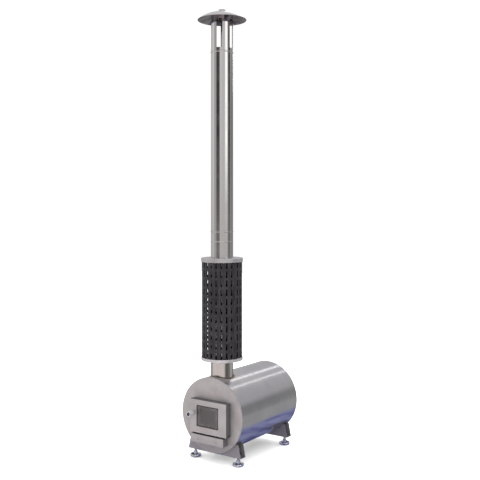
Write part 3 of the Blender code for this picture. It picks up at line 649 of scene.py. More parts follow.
def softened(node, width, finish, body, slot, segments=2):
    """A copy of a plain solid with clean flat faces and rounded edges, in its place."""
    shape = bmesh.new()
    shape.from_mesh(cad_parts[node].data)
    bmesh.ops.remove_doubles(shape, verts=shape.verts, dist=1e-6)
    bmesh.ops.dissolve_limit(shape, angle_limit=math.radians(1.0), verts=shape.verts, edges=shape.edges)
    piece = to_object(node + "_finished", shape)
    soften(piece, width, segments)
    return place(piece, finish, body, slot, node)


def circle(centre, radius, count, axis="Z"):
    points = []
    for step in range(count):
        turn = 2 * math.pi * step / count
        across, up = radius * math.sin(turn), radius * math.cos(turn)
        points.append(Vector(centre) + (Vector((across, up, 0.0)) if axis == "Z"
            else Vector((across, 0.0, up))))
    return points


def ripple(size, pitch, depth=0.16):
    """The radius of a weld bead, which swells once for each drop of weld metal."""
    def radius(distance, turn):
        phase = distance / pitch - 0.16 * abs(math.sin(turn))
        return size * (1.0 - depth + depth * 2 * abs(math.sin(math.pi * phase)))
    return radius


def weld_ring(name, centre, radius, size, axis, finish=None, pitch=0.0022):
    count = round(2 * math.pi * radius / pitch) * 3
    bead = sweep(name, circle(centre, radius, count, axis), ripple(size, pitch), (0, 0, 1)
        if axis == "Z" else (0, 1, 0), sides=8)
    return place(bead, finish or WELD, "heater", "shell_steel", smooth=60.0)


# ---------------------------------------------------------------- drum
def make_drum():
    edge = 0.0008
    inner = DRUM_R - 0.0025
    outline = rounded([(DRUM_R, shell_high.y), (DRUM_R, shell_low.y), (inner, shell_low.y),
        (inner, shell_high.y)], edge, steps=2)

    def seam(turn, height):
        return 0.0006 * max(0.0, 1.0 - abs(turn - math.pi) / 0.03)

    skin = lathe("drum_skin", outline, AXIS, "Y", steps=240, swell=seam)
    carve(skin, bored(FLUE, FLUE_R + GAP, DRUM_Z, FLUE_CUT_TOP, "Z", steps=128))
    place(skin, DRUM, "heater", "shell_steel", "outer_shell")

    front = lathe("front_face", [(0.0, face_high.y)]
        + rounded([(0.0, face_high.y), (DRUM_R, face_high.y), (DRUM_R, face_low.y), (0.0, face_low.y)],
        [0.0, 0.0004, 0.0016, 0.0], steps=4)[1:], AXIS, "Y", steps=240)
    neck_low, neck_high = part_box("door_neck")
    grow = GAP
    neck = prism("neck_hole", rounded(frame_outline(neck_low.x - grow, neck_high.x + grow,
        neck_low.z - grow, neck_high.z + grow), 0.001, steps=2), FRONT_Y - PAST, face_high.y + PAST)
    tray_low, tray_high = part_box("ash_tray")
    grow = 0.002
    slot = prism("tray_hole", rounded(frame_outline(tray_low.x - grow, tray_high.x + grow,
        tray_low.z - grow, tray_high.z + grow), 0.0015, steps=3), FRONT_Y - PAST, face_high.y + PAST)
    carve(front, neck, slot)
    place(front, FACE, "heater", "face_steel", "front_plate")

    back = lathe("rear_face", [(0.0, rear_low.y)] + rounded([(0.0, rear_low.y), (DRUM_R, rear_low.y),
        (DRUM_R, rear_high.y), (0.0, rear_high.y)], [0.0, 0.0004, 0.0016, 0.0], steps=4)[1:], AXIS, "Y",
        steps=240)
    for node in ("water_outlet_socket", "water_inlet_socket", "drain_socket"):
        low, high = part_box(node)
        middle = (low + high) / 2
        radius = (high.z - low.z) / 2 + GAP
        carve(back, bored(middle, radius, REAR_Y - PAST, REAR_Y + PAST, steps=64))
        weld_ring(node + "_weld", (0.0, REAR_Y + 0.0006, middle.z), radius + 0.0012, 0.0021, "Y")
    place(back, face_steel("rear_steel", warm=(0.53, 0.515, 0.515), painted_shade_sides=False), "heater",
        "face_steel", "rear_plate")

    for label, y in (("front", face_high.y + 0.0002), ("rear", rear_low.y - 0.0002)):
        weld_ring(f"{label}_rim_weld", (0.0, y, DRUM_Z), DRUM_R - 0.0007, 0.0012, "Y", RING)


def make_firebox():
    tube_low, tube_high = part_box("firebox_tube")
    outer = (tube_high.x - tube_low.x) / 2
    wall = 0.004
    tube = lathe("fire_tube", rounded([(outer, tube_high.y), (outer, tube_low.y),
        (outer - wall, tube_low.y), (outer - wall, tube_high.y)], 0.0008, steps=2), AXIS, "Y",
        steps=128)
    carve(tube, bored(FLUE, FLUE_R + GAP, DRUM_Z, FLUE_CUT_TOP, "Z", steps=96))
    place(tube, INNER, "heater", "inner_steel", "firebox_tube")
    back_low, back_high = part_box("firebox_back")
    radius = (back_high.x - back_low.x) / 2
    disc = lathe("fire_back", [(0.0, back_low.y), (radius - 0.001, back_low.y),
        (radius, back_low.y + 0.001), (radius, back_high.y), (0.0, back_high.y)], AXIS, "Y", steps=128)
    place(disc, INNER, "heater", "inner_steel", "firebox_back")
    softened("grate", 0.0022, IRON, "heater", "grate_iron", segments=3)
    for side in ("left", "right"):
        softened(f"ash_runner_{side}", 0.0008, INNER, "heater", "inner_steel")
    softened("door_neck", 0.0009, INNER, "heater", "inner_steel")


def make_sockets():
    """Threaded water sockets: a plain collar with a cut thread inside its mouth."""
    pitch = 0.0023
    for node in ("water_outlet_socket", "water_inlet_socket"):
        low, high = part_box(node)
        middle = (low + high) / 2
        outer = (high.z - low.z) / 2
        bore = 0.0205
        depth = 0.030

        def cut_thread(turn, height, end=high.y):
            inside = (end - height) / depth
            if not 0.03 < inside < 1.0:
                return 0.0
            phase = (height / pitch - turn / (2 * math.pi)) % 1.0
            return 0.0007 * abs(2 * phase - 1.0)

        rows = round(depth / pitch) * 6
        inner = [(bore, high.y - depth * i / rows) for i in range(1, rows + 1)]
        profile = ([(bore + 0.0016, high.y)] + inner + [(bore, low.y), (outer, low.y),
            (outer, high.y - 0.0014), (outer - 0.0014, high.y)])
        inside = {height for _, height in inner}
        socket = lathe(node + "_turned", profile, middle, "Y", steps=72, swell=lambda turn,
            height: cut_thread(turn, height) if height in inside else 0.0)
        place(socket, FASTENER, "heater", "fastener_steel", node, smooth=25.0)
    low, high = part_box("drain_socket")
    radius = (high.z - low.z) / 2
    collar = lathe("drain_collar", rounded([(0.0085, high.y), (0.0085, low.y), (radius, low.y),
        (radius, high.y)], 0.0009, steps=3), (low + high) / 2, "Y", steps=64)
    place(collar, FASTENER, "heater", "fastener_steel", "drain_socket")
    low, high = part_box("drain_plug")
    middle = (low + high) / 2
    collar_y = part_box("drain_socket")[1].y
    head = hexagon_nut("drain_plug_head", middle, collar_y + GAP, high.y, 0.0222, "Y", 0.0)
    stem = lathe("stem", [(0.0, low.y), (0.0075, low.y), (0.0082, low.y + 0.001),
        (0.0082, collar_y + 0.001), (0.0, collar_y + 0.001)], middle, "Y", steps=48)
    carve(head, stem, operation="UNION")
    place(head, BRASS, "heater", "plug_brass", "drain_plug")


def hexagon_nut(name, centre, low, high, across, axis, bore):
    """A hexagon with both faces chamfered to its across-flats circle, and a plain bore."""
    corner = across / 2 / math.cos(math.pi / 6)
    outline = []
    for i in range(6):
        turn = math.pi / 3 * i
        first = centre.x + corner * math.cos(turn)
        second = (centre.y if axis == "Z" else centre.z) + corner * math.sin(turn)
        outline.append((first, second))
    nut = prism(name, outline, low, high, axis)
    drop = (corner - across / 2) * 1.1 * math.tan(math.radians(30))
    flat = across / 2 * 0.97
    barrel = lathe("barrel", [(0.0, low), (flat, low), (corner + 0.001, low + drop + 0.001),
        (corner + 0.001, high - drop - 0.001), (flat, high), (0.0, high)], centre, axis, steps=72)
    carve(nut, barrel, operation="INTERSECT")
    if bore:
        carve(nut, bored(centre, bore, low - PAST, high + PAST, axis, steps=48))
    return nut


# ---------------------------------------------------------------- door and drawer
def folded_pan(name, low, high, fold=0.0024):
    """A sheet pan, open at the back, with its front edges and corners folded round."""
    solid = prism(name, frame_outline(low.x, high.x, low.z, high.z), low.y, high.y + 0.006)
    soften(solid, fold, segments=5)
    hollow = prism("hollow", frame_outline(low.x + PAN_T, high.x - PAN_T, low.z + PAN_T,
        high.z - PAN_T), low.y + PAN_T, high.y + 0.02)
    soften(hollow, fold - PAN_T + 0.0003, segments=3)
    trim = prism("trim", frame_outline(low.x - PAST, high.x + PAST, low.z - PAST, high.z + PAST),
        high.y, high.y + 0.05)
    return carve(solid, hollow, trim)


def make_door():
    left, right, low, high = DOOR_WINDOW
    panel = folded_pan("door_pan", door_low, door_high)
    sight = prism("sight", rounded(frame_outline(left, right, low, high), 0.0022, steps=4),
        door_low.y - PAST, door_low.y + 0.0099)
    axis = measured("handle_spindle")[2]
    bore = bored(axis, 0.0053, door_low.y - PAST, door_low.y + 2 * PAST)
    carve(panel, sight, bore)
    hinge = measured("hinge_pin_low")[2]
    pin_bore = bored(hinge, 0.0028, door_low.z - PAST, door_high.z + PAST, "Z", steps=32)
    notches = []
    for first, last in ((door_low.z + 0.0018, door_low.z + 0.0080),
            (door_high.z - 0.0080, door_high.z - 0.0018)):
        notches.append(prism("notch", frame_outline(door_high.x - 0.0031, door_high.x + PAST, first,
            last), hinge.y - 0.008, FRONT_Y + 0.02))
    carve(panel, pin_bore, *notches)
    place(panel, FACE, "door", "face_steel", "door_panel")

    pane = prism("glass_pane", rounded(frame_outline(glass_low.x, glass_high.x, glass_low.z,
        glass_high.z), 0.003, steps=4), glass_low.y, glass_high.y)
    soften(pane, 0.0006, segments=2)
    place(pane, GLASS, "door", "fire_glass", "door_glass")
    softened("glass_retainer", 0.0003, INNER, "door", "inner_steel")

    for row in ("low", "high"):
        softened(f"hinge_lug_{row}", 0.0006, INNER, "heater", "inner_steel")
        low, high, middle, radius = measured(f"hinge_pin_{row}")
        outline = [(0.0, low.z), (radius, low.z), (radius, high.z), (0.0, high.z)]
        pin = lathe(f"hinge_pin_{row}_turned", rounded(outline, [0.0, 0.0006, 0.0006, 0.0], 3), middle,
            steps=32)
        place(pin, FASTENER, "heater", "fastener_steel", f"hinge_pin_{row}")
        for column in ("left", "right"):
            make_screw(f"retainer_screw_{row}_{column}", "door", outward=1.0, reach=0.0022)
    make_gasket()


def make_screw(node, body, outward, reach):
    """A round-headed screw along Y with a six-sided socket; outward is its head's way."""
    low, high, middle, radius = measured(node)
    tip, end = (low.y, high.y) if outward > 0 else (high.y, low.y)
    seat = end - outward * reach
    profile = [(0.0, end), (radius * 0.30, end), (radius * 0.70, end - outward * reach * 0.16),
        (radius * 0.93, end - outward * reach * 0.55), (radius, seat)]
    shank = radius * 0.53
    profile += [(shank, seat), (shank, tip + outward * 0.0005), (shank * 0.7, tip), (0.0, tip)]
    screw = lathe(node + "_turned", profile, middle, "Y", steps=36)
    key = radius * 0.42
    outline = [(middle.x + key * math.cos(math.pi / 3 * i), middle.z + key * math.sin(math.pi / 3 * i))
        for i in range(6)]
    first, last = sorted((end - outward * reach * 0.75, end + outward * 0.01))
    carve(screw, prism("key", outline, first, last))
    place(screw, FASTENER, body, "fastener_steel", node)


def make_gasket():
    """The rope seal: a knitted tube whose strands cross along its length."""
    low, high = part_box("door_gasket")
    radius = (high.y - low.y) / 2
    middle = (low + high) / 2
    corner = 0.010
    outline = rounded(frame_outline(low.x + radius, high.x - radius, low.z + radius, high.z - radius),
        corner, steps=10)
    path = []
    for i, point in enumerate(outline):
        here, onward = Vector(point), Vector(outline[(i + 1) % len(outline)])
        pieces = max(1, round((onward - here).length / 0.0011))
        for k in range(pieces):
            spot = here.lerp(onward, k / pieces)
            path.append((spot.x, middle.y, spot.y))
    length = sum((Vector(path[(i + 1) % len(path)]) - Vector(path[i])).length for i in range(len(path)))
    strands = round(length / 0.0085)

    def knit(distance, turn):
        phase = 2 * math.pi * strands * distance / length
        left = abs(math.sin(phase / 2 + 2 * turn))
        right = abs(math.sin(phase / 2 - 2 * turn))
        return radius * (0.88 + 0.12 * max(left, right))

    rope = sweep("rope_gasket", path, knit, (0, 1, 0), sides=24)
    place(rope, ROPE, "door", "rope_seal", "door_gasket", smooth=70.0)


def make_handle():
    low, high, middle, _ = measured("handle_spindle")
    thin = 0.004
    wide = 0.005
    shoulder = face_high.y + 0.0005
    spindle = lathe("spindle_turned", rounded([(0.0, low.y), (wide, low.y), (wide, shoulder),
        (thin, shoulder), (thin, high.y), (0.0, high.y)], [0.0, 0.0012, 0.0, 0.0, 0.0008, 0.0],
        steps=3), middle, "Y", steps=48)
    place(spindle, FASTENER, "handle", "fastener_steel", "handle_spindle")

    low, high, _, outer = measured("handle_rosette")
    rosette = lathe("rosette_turned", rounded([(wide + GAP, high.y), (wide + GAP, low.y),
        (outer * 0.74, low.y), (outer, low.y + 0.0016), (outer, high.y)],
        [0.0, 0.0003, 0.0006, 0.0008, 0.0], steps=3), middle, "Y", steps=64)
    place(rosette, FASTENER, "door", "fastener_steel", "handle_rosette")

    low, high, _, grip_r = measured("handle_grip")
    wire = 0.0027
    base, tip = high.y - wire, low.y + wire
    length = base - tip
    turns = 8
    steps = 32
    path = []
    for i in range(turns * steps + 1):
        part = i / (turns * steps)
        turn = 2 * math.pi * i / steps
        # narrow at the door, full over the outer half, drawn in over the last half turn
        swell = min(1.0, part / 0.40)
        reach = 0.0072 + (grip_r - wire - 0.0072) * math.sin(swell * math.pi / 2)
        drawn_in = max(0.0, (part - 0.93) / 0.07)
        reach -= 0.0030 * drawn_in ** 2
        path.append((middle.x + reach * math.sin(turn), base - length * part,
            middle.z + reach * math.cos(turn)))
    coil = sweep("grip_coil", path, wire, (0, 1, 0), sides=10, closed=False)
    place(coil, CHROME, "handle", "polished_steel", "handle_grip", smooth=70.0)
    core = grip_r - 2.7 * wire
    sleeve = lathe("grip_sleeve", rounded([(core, tip + 0.003), (core, tip + 0.026),
        (0.0062, base - 0.002), (wide + GAP, base - 0.002), (wide + GAP, tip + 0.003)], 0.0004,
        steps=2), middle, "Y", steps=48)
    place(sleeve, INNER, "handle", "polished_steel")

    softened("latch_tongue", 0.0007, INNER, "handle", "inner_steel")
    low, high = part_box("spindle_nut")
    nut = hexagon_nut("spindle_nut_finished", (low + high) / 2, low.y, high.y,
        0.0136 * math.cos(math.pi / 6), "Y", thin + GAP)
    place(nut, FASTENER, "handle", "fastener_steel", "spindle_nut")


def make_drawer():
    front = folded_pan("drawer_pan", drawer_low, drawer_high)
    for side in ("left", "right"):
        middle = measured(f"drawer_screw_{side}")[2]
        carve(front, bored(middle, 0.0023, drawer_low.y - PAST, drawer_low.y + PAST, steps=32))
        make_screw(f"drawer_screw_{side}", "ash_drawer", outward=-1.0, reach=0.0019)
    place(front, FACE, "ash_drawer", "face_steel", "drawer_front")
    softened("ash_tray", 0.0006, INNER, "ash_drawer", "inner_steel")


# ---------------------------------------------------------------- stand
def make_saddle(node):
    """A folded channel: two webs cut to the drum's curve, joined by a flange with round bends."""
    low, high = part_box(node)
    bend = 0.0045
    outer = [(low.y, high.z), (low.y, low.z), (high.y, low.z), (high.y, high.z)]
    inner = [(high.y - SADDLE_T, high.z), (high.y - SADDLE_T, low.z + SADDLE_T),
        (low.y + SADDLE_T, low.z + SADDLE_T), (low.y + SADDLE_T, high.z)]
    section = rounded(outer + inner, [0.0, bend, bend, 0.0, 0.0, bend - SADDLE_T, bend - SADDLE_T, 0.0],
        steps=5)
    channel = prism(node + "_folded", section, low.x - PAST, high.x + PAST, axis="X")
    seat = DRUM_R + GAP
    shoulder_z = 0.1175
    shoulder_half = 0.156
    half_angle = math.asin(math.sqrt(seat ** 2 - (DRUM_Z - shoulder_z) ** 2) / seat)
    steps = 64
    arc = []
    for i in range(steps + 1):
        turn = half_angle * (1 - 2 * i / steps)
        arc.append((seat * math.sin(turn), DRUM_Z - seat * math.cos(turn)))
    corners = rounded([(-shoulder_half, shoulder_z), (low.x, low.z), (high.x, low.z),
        (shoulder_half, shoulder_z)], [0.0, 0.002, 0.002, 0.0], steps=3)
    web = prism("web", corners + arc, low.y - PAST, high.y + PAST)
    carve(channel, web, operation="INTERSECT")
    for x in (-FOOT_X, FOOT_X):
        spot = Vector((x, (low.y + high.y) / 2, 0.0))
        carve(channel, bored(spot, 0.0073, 0.03, 0.08, "Z"))
    place(channel, SADDLE, "heater", "shell_steel", node)
    for label, y in (("front", low.y + 0.0004), ("rear", high.y - 0.0004)):
        for side, sign in (("left", -1), ("right", 1)):
            bead = []
            count = 90
            for i in range(count + 1):
                turn = sign * (0.10 + (half_angle - 0.13) * i / count)
                bead.append(((DRUM_R + GAP) * math.sin(turn), y,
                    DRUM_Z - (DRUM_R + GAP) * math.cos(turn)))
            weld = sweep(f"{node}_weld_{label}_{side}", bead, ripple(0.0016, 0.0034), (0, 1, 0),
                sides=8, closed=False)
            place(weld, WELD, "heater", "shell_steel", smooth=60.0)


def make_foot(label):
    body = f"foot_{label}"
    low, high, middle, radius = measured(f"foot_pad_{label}")
    top = high.z
    pad = lathe(f"pad_{label}", rounded([(0.0, 0.0060), (0.0098, 0.0060), (0.0228, 0.0072),
        (0.0256, top), (0.0283, top), (radius, 0.0115), (radius, 0.0045), (0.0262, 0.0), (0.0, 0.0)],
        [0.0, 0.001, 0.003, 0.0009, 0.0009, 0.002, 0.002, 0.0012, 0.0], steps=4), middle, steps=72)
    place(pad, CHROME, body, "foot_chrome", f"foot_pad_{label}")

    low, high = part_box(f"foot_stud_{label}")
    pitch = 0.00175
    crest = 0.0070
    start = 0.0315
    rows = round((high.z - 0.001 - start) / pitch * 6)
    heights = [start + (high.z - 0.001 - start) * i / rows for i in range(rows + 1)]

    def thread(turn, height):
        if height < start or height > high.z - 0.0009:
            return 0.0
        phase = (height / pitch - turn / (2 * math.pi)) % 1.0
        return -0.0009 * abs(2 * phase - 1.0)

    collar = 0.0105
    profile = [(0.0, low.z), (collar - 0.0007, low.z), (collar, low.z + 0.0007), (collar, 0.0150),
        (collar - 0.0006, 0.0156), (collar - 0.0006, 0.0166), (collar, 0.0172), (collar, 0.0288),
        (collar - 0.0010, 0.0298), (crest, 0.0300)]
    profile += [(crest, height) for height in heights]
    profile += [(crest - 0.0014, high.z), (0.0, high.z)]
    stud = lathe(f"stud_{label}", profile, middle, steps=40, swell=thread)
    place(stud, CHROME, body, "foot_chrome", f"foot_stud_{label}", smooth=28.0)

    low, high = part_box(f"foot_nut_{label}")
    nut = hexagon_nut(f"nut_{label}", (low + high) / 2, low.z, high.z, high.y - low.y, "Z", crest + GAP)
    place(nut, FASTENER, "heater", "fastener_steel", f"foot_nut_{label}")


# ---------------------------------------------------------------- flue
def pipe_seam(turn, height):
    """The pipe's long weld, on the side away from the door."""
    return 0.0004 * max(0.0, 1.0 - abs(turn - math.pi * 1.12) / 0.045)


def pipe_wall(low, high, base, edge):
    """A pipe's bore, its spigot, which is let into the pipe below, and its shoulder."""
    bore, spigot_bore = FLUE_R - FLUE_T, SPIGOT_R - FLUE_T
    outline = [(bore, high.z), (bore, base + 0.009), (spigot_bore, base + 0.004), (spigot_bore, low.z),
        (SPIGOT_R, low.z), (SPIGOT_R, base), (FLUE_R, base)]
    return outline, [edge, 0.002, 0.002, 0.0006, 0.0008, 0.0, 0.0008]


def make_pipe(node, next_top):
    low, high, _, bead = measured(node)
    groove = high.z - 0.0560 if node == "lower_pipe" else None
    rim = 0.0050
    outline, radii = pipe_wall(low, high, next_top + GAP, 0.0006)
    if groove:
        outline += [(FLUE_R, groove - 0.0026), (FLUE_R + 0.0007, groove - 0.0010),
            (FLUE_R + 0.0007, groove + 0.0010), (FLUE_R, groove + 0.0026)]
        radii += [0.001, 0.0007, 0.0007, 0.001]
    outline += [(FLUE_R, high.z - rim - 0.0018), (bead, high.z - rim), (bead, high.z)]
    radii += [0.0012, 0.0014, 0.0012]
    pipe = lathe(node + "_drawn", rounded(outline, radii, steps=3), FLUE, steps=160, swell=pipe_seam)
    place(pipe, PIPE, "heater", "polished_steel", node)


def make_flue():
    wall = [(FLUE_R, stub_high.z), (FLUE_R, stub_low.z), (FLUE_R - FLUE_T, stub_low.z),
        (FLUE_R - FLUE_T, stub_high.z)]
    stub = lathe("stub_drawn", rounded(wall, 0.0007, steps=3), FLUE, steps=160)
    place(stub, PIPE, "heater", "polished_steel", "flue_stub")
    make_pipe("lower_pipe", stub_high.z)
    make_pipe("upper_pipe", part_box("lower_pipe")[1].z)

    # the weld follows the line where the round stub meets the round drum
    reach = FLUE_R + 0.0008
    count = round(2 * math.pi * reach / 0.0026) * 3
    path = []
    for point in circle(FLUE, reach, count):
        path.append((point.x, point.y, DRUM_Z + math.sqrt(DRUM_R ** 2 - point.x ** 2) + 0.0006))
    bead = sweep("stub_weld", path, ripple(0.0020, 0.0026), (0, 0, 1), sides=10)
    place(bead, HOT_WELD, "heater", "shell_steel", smooth=60.0)


def make_cowl():
    low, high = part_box("cowl_tube")
    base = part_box("upper_pipe")[1].z + GAP
    outline, radii = pipe_wall(low, high, base, 0.0005)
    tube = lathe("cowl_drawn", rounded(outline + [(FLUE_R, high.z)], radii + [0.0005], steps=3), FLUE,
        steps=160)
    half = COWL_WINDOW_WIDTH / 2
    for i in range(COWL_WINDOWS):
        azimuth = COWL_WINDOW_AZIMUTH + 2 * math.pi * i / COWL_WINDOWS
        opening = prism(f"window_{i}", rounded(frame_outline(-half, half, COWL_WINDOW_LOW,
            COWL_WINDOW_HIGH), 0.003), -0.09, -0.03)
        opening.location = FLUE
        opening.rotation_euler = (0.0, 0.0, azimuth)
        carve(tube, opening)
    place(tube, PIPE, "heater", "polished_steel", "cowl_tube")


def make_rain_cap():
    low, high, _, radius = measured("rain_cap")
    hem = 0.0018
    rim_z = low.z + hem
    sheet = 0.0012
    fullness = 2.2
    # a spun dome, fuller than a cone, whose edge is rolled under into a wire hem
    dome = []
    steps = 24
    for i in range(steps + 1):
        part = i / steps
        dome.append(((radius - hem * 0.6) * part, high.z - (high.z - rim_z - hem) * part ** fullness))
    roll = []
    for i in range(15):
        turn = math.radians(60 - 240 * i / 14)
        roll.append((radius - hem + hem * math.cos(turn), rim_z + hem * math.sin(turn)))
    under = [(r, z - sheet * 1.2) for r, z in reversed(dome[1:-1])]
    profile = dome[:-1] + roll + under + [(0.0, high.z - sheet * 1.2)]
    cap = lathe("rain_cap_sheet", profile, FLUE, steps=160)
    place(cap, CAP, "heater", "polished_steel", "rain_cap", smooth=40.0)

    low, high, _, wide = measured("cap_knob")
    knob = lathe("cap_button", rounded([(0.0, high.z), (wide - 0.0040, high.z),
        (wide - 0.0010, high.z - 0.002), (wide, low.z), (0.0, low.z)], [0.0, 0.002, 0.002, 0.0006, 0.0],
        steps=4), FLUE, steps=96)
    place(knob, CAP, "heater", "polished_steel", "cap_knob")


# ---------------------------------------------------------------- heat guard
def slot_cell(half_wide, half_high, radius, straight):
    """Matching points of a round-ended slot and of the cell around it, once round."""
    inner, outer = [], []
    middle = (half_high + straight) / 2
    edge = ((half_wide, straight), (half_wide, middle), (half_wide, half_high),
        (half_wide / 2, half_high), (0.0, half_high), (-half_wide / 2, half_high),
        (-half_wide, half_high), (-half_wide, middle), (-half_wide, straight))
    for sign in (1, -1):
        for i, (x, z) in enumerate(edge):
            turn = math.pi * i / (len(edge) - 1)
            inner.append((sign * radius * math.cos(turn), sign * (straight + radius * math.sin(turn))))
            outer.append((sign * x, sign * z))
    return inner, outer


def make_guard():
    first_row = (guard_low.z + guard_high.z) / 2 - SLOT_ROW_PITCH * (SLOT_ROWS - 1) / 2
    first_slot = SEAM_AZIMUTH + (2 * math.pi - SLOT_PITCH * (SLOT_COLUMNS - 1)) / 2
    radius = GUARD_R * SLOT_ANGLE / 2
    straight = SLOT_HEIGHT / 2 - radius
    half_wide = GUARD_R * SLOT_PITCH / 2
    half_high = SLOT_ROW_PITCH / 2
    inner, outer = slot_cell(half_wide, half_high, radius, straight)
    shape = bmesh.new()

    def vertex(across, z, lift=0.0):
        turn = across / GUARD_R
        reach = GUARD_R + lift
        return shape.verts.new((FLUE.x + reach * math.sin(turn), FLUE.y - reach * math.cos(turn), z))

    def strip(columns, heights, lift=0.0):
        grid = [[vertex(across, z, lift) for across in columns] for z in heights]
        for one, two in zip(grid, grid[1:]):
            for k in range(len(columns) - 1):
                shape.faces.new((one[k], one[k + 1], two[k + 1], two[k]))

    for column in range(SLOT_COLUMNS):
        middle = GUARD_R * (first_slot + column * SLOT_PITCH)
        for row in range(SLOT_ROWS):
            z = first_row + row * SLOT_ROW_PITCH
            hole = [vertex(middle + x, z + y) for x, y in inner]
            cell = [vertex(middle + x, z + y) for x, y in outer]
            count = len(hole)
            for i in range(count):
                k = (i + 1) % count
                shape.faces.new((hole[i], hole[k], cell[k], cell[i]))
        columns = [middle + half_wide * part for part in (-1.0, -0.5, 0.0, 0.5, 1.0)]
        strip(columns, [guard_low.z, first_row - half_high])
        strip(columns, [first_row + (SLOT_ROWS - 0.5) * SLOT_ROW_PITCH, guard_high.z])
    last = GUARD_R * (first_slot + (SLOT_COLUMNS - 0.5) * SLOT_PITCH)
    gap = GUARD_R * (2 * math.pi - SLOT_PITCH * SLOT_COLUMNS)
    heights = [guard_low.z, first_row - half_high]
    for row in range(SLOT_ROWS):
        z = first_row + row * SLOT_ROW_PITCH
        middle = (half_high + straight) / 2
        heights += [z - middle, z - straight, z + straight, z + middle, z + half_high]
    heights.append(guard_high.z)
    strip([last, last + gap / 2, last + gap], heights)
    bmesh.ops.remove_doubles(shape, verts=shape.verts, dist=1e-5)
    shell = to_object("guard_sheet", shape)
    wall = shell.modifiers.new("wall", "SOLIDIFY")
    wall.thickness = 0.0015
    wall.offset = -1.0
    settle(shell)
    place(shell, GUARD, "heater", "guard_paint", "guard_shell")

    seam = SEAM_AZIMUTH
    reach = GUARD_R + 0.0005
    half = 0.0045 / GUARD_R
    section = []
    for turn in (-1.0, -0.5, 0.0, 0.5, 1.0):
        section.append((FLUE.x + reach * math.sin(seam + turn * half),
            FLUE.y - reach * math.cos(seam + turn * half)))
    for turn in (1.0, 0.5, 0.0, -0.5, -1.0):
        section.append((FLUE.x + (reach - 0.0009) * math.sin(seam + turn * half),
            FLUE.y - (reach - 0.0009) * math.cos(seam + turn * half)))
    lap = prism("guard_lock_seam", section, guard_low.z + 0.020, guard_high.z - 0.020, axis="Z")
    place(lap, GUARD, "heater", "guard_paint")

    for node, down in (("guard_top_cap", False), ("guard_bottom_cap", True)):
        low, high, _, outer_r = measured(node)
        sheet = 0.002
        neck = FLUE_R + GAP
        lip = GUARD_R + GAP
        flat, edge = (low.z, high.z) if down else (high.z, low.z)
        sign = 1.0 if down else -1.0
        outline = [(neck, flat), (outer_r, flat), (outer_r, edge), (lip, edge),
            (lip, flat + sign * sheet), (neck, flat + sign * sheet)]
        radii = [0.0006, 0.0030, 0.0009, 0.0006, 0.0010, 0.0006]
        ring = lathe(node + "_spun", rounded(outline, radii, steps=5), FLUE, steps=160)
        place(ring, RING, "heater", "shell_steel", node)


# ---------------------------------------------------------------- studio
def ground_tone(graph):
    """Blue-grey paving: lighter towards its right edge, with navy patches."""
    here = graph.add("TexCoord").outputs["Object"]
    across = graph.add("SeparateXYZ", {0: here}).outputs[0]
    patch = graph.noise(graph.stretch(here, (9.0, 4.5, 1.0)), detail=5.0, roughness=0.65)
    light = graph.blend(across, 0.30, 0.02, (0.42, 0.44, 0.72), (0.19, 0.20, 0.37))
    dark = graph.blend(across, 0.34, 0.02, (0.20, 0.21, 0.46), (0.055, 0.06, 0.16))
    return graph.blend(patch, 0.42, 0.56, dark, light)


def card(name, corners, tone, strength):
    """A light card that shows only in reflections; its tone can be a function of its nodes."""
    shape = bmesh.new()
    shape.faces.new([shape.verts.new(corner) for corner in corners])
    mesh = bpy.data.meshes.new(name)
    shape.to_mesh(mesh)
    shape.free()
    made = bpy.data.objects.new(name, mesh)
    bpy.context.scene.collection.objects.link(made)
    glow = bpy.data.materials.new(name)
    glow.use_nodes = True
    graph = Graph(glow.node_tree)
    glow.node_tree.nodes.remove(glow.node_tree.nodes["Principled BSDF"])
    first = graph.math("LESS_THAN", graph.add("LightPath").outputs["Diffuse Depth"], 0.5)
    light = graph.add("Emission", {"Color": tone(graph) if callable(tone) else colour(tone),
        "Strength": graph.times(first, strength)})
    output = glow.node_tree.nodes["Material Output"]
    glow.node_tree.links.new(light.outputs[0], output.inputs["Surface"])
    mesh.materials.append(glow)
    made.visible_camera = False
    made.visible_shadow = False
    made.visible_diffuse = False
    made.visible_transmission = False
    return made


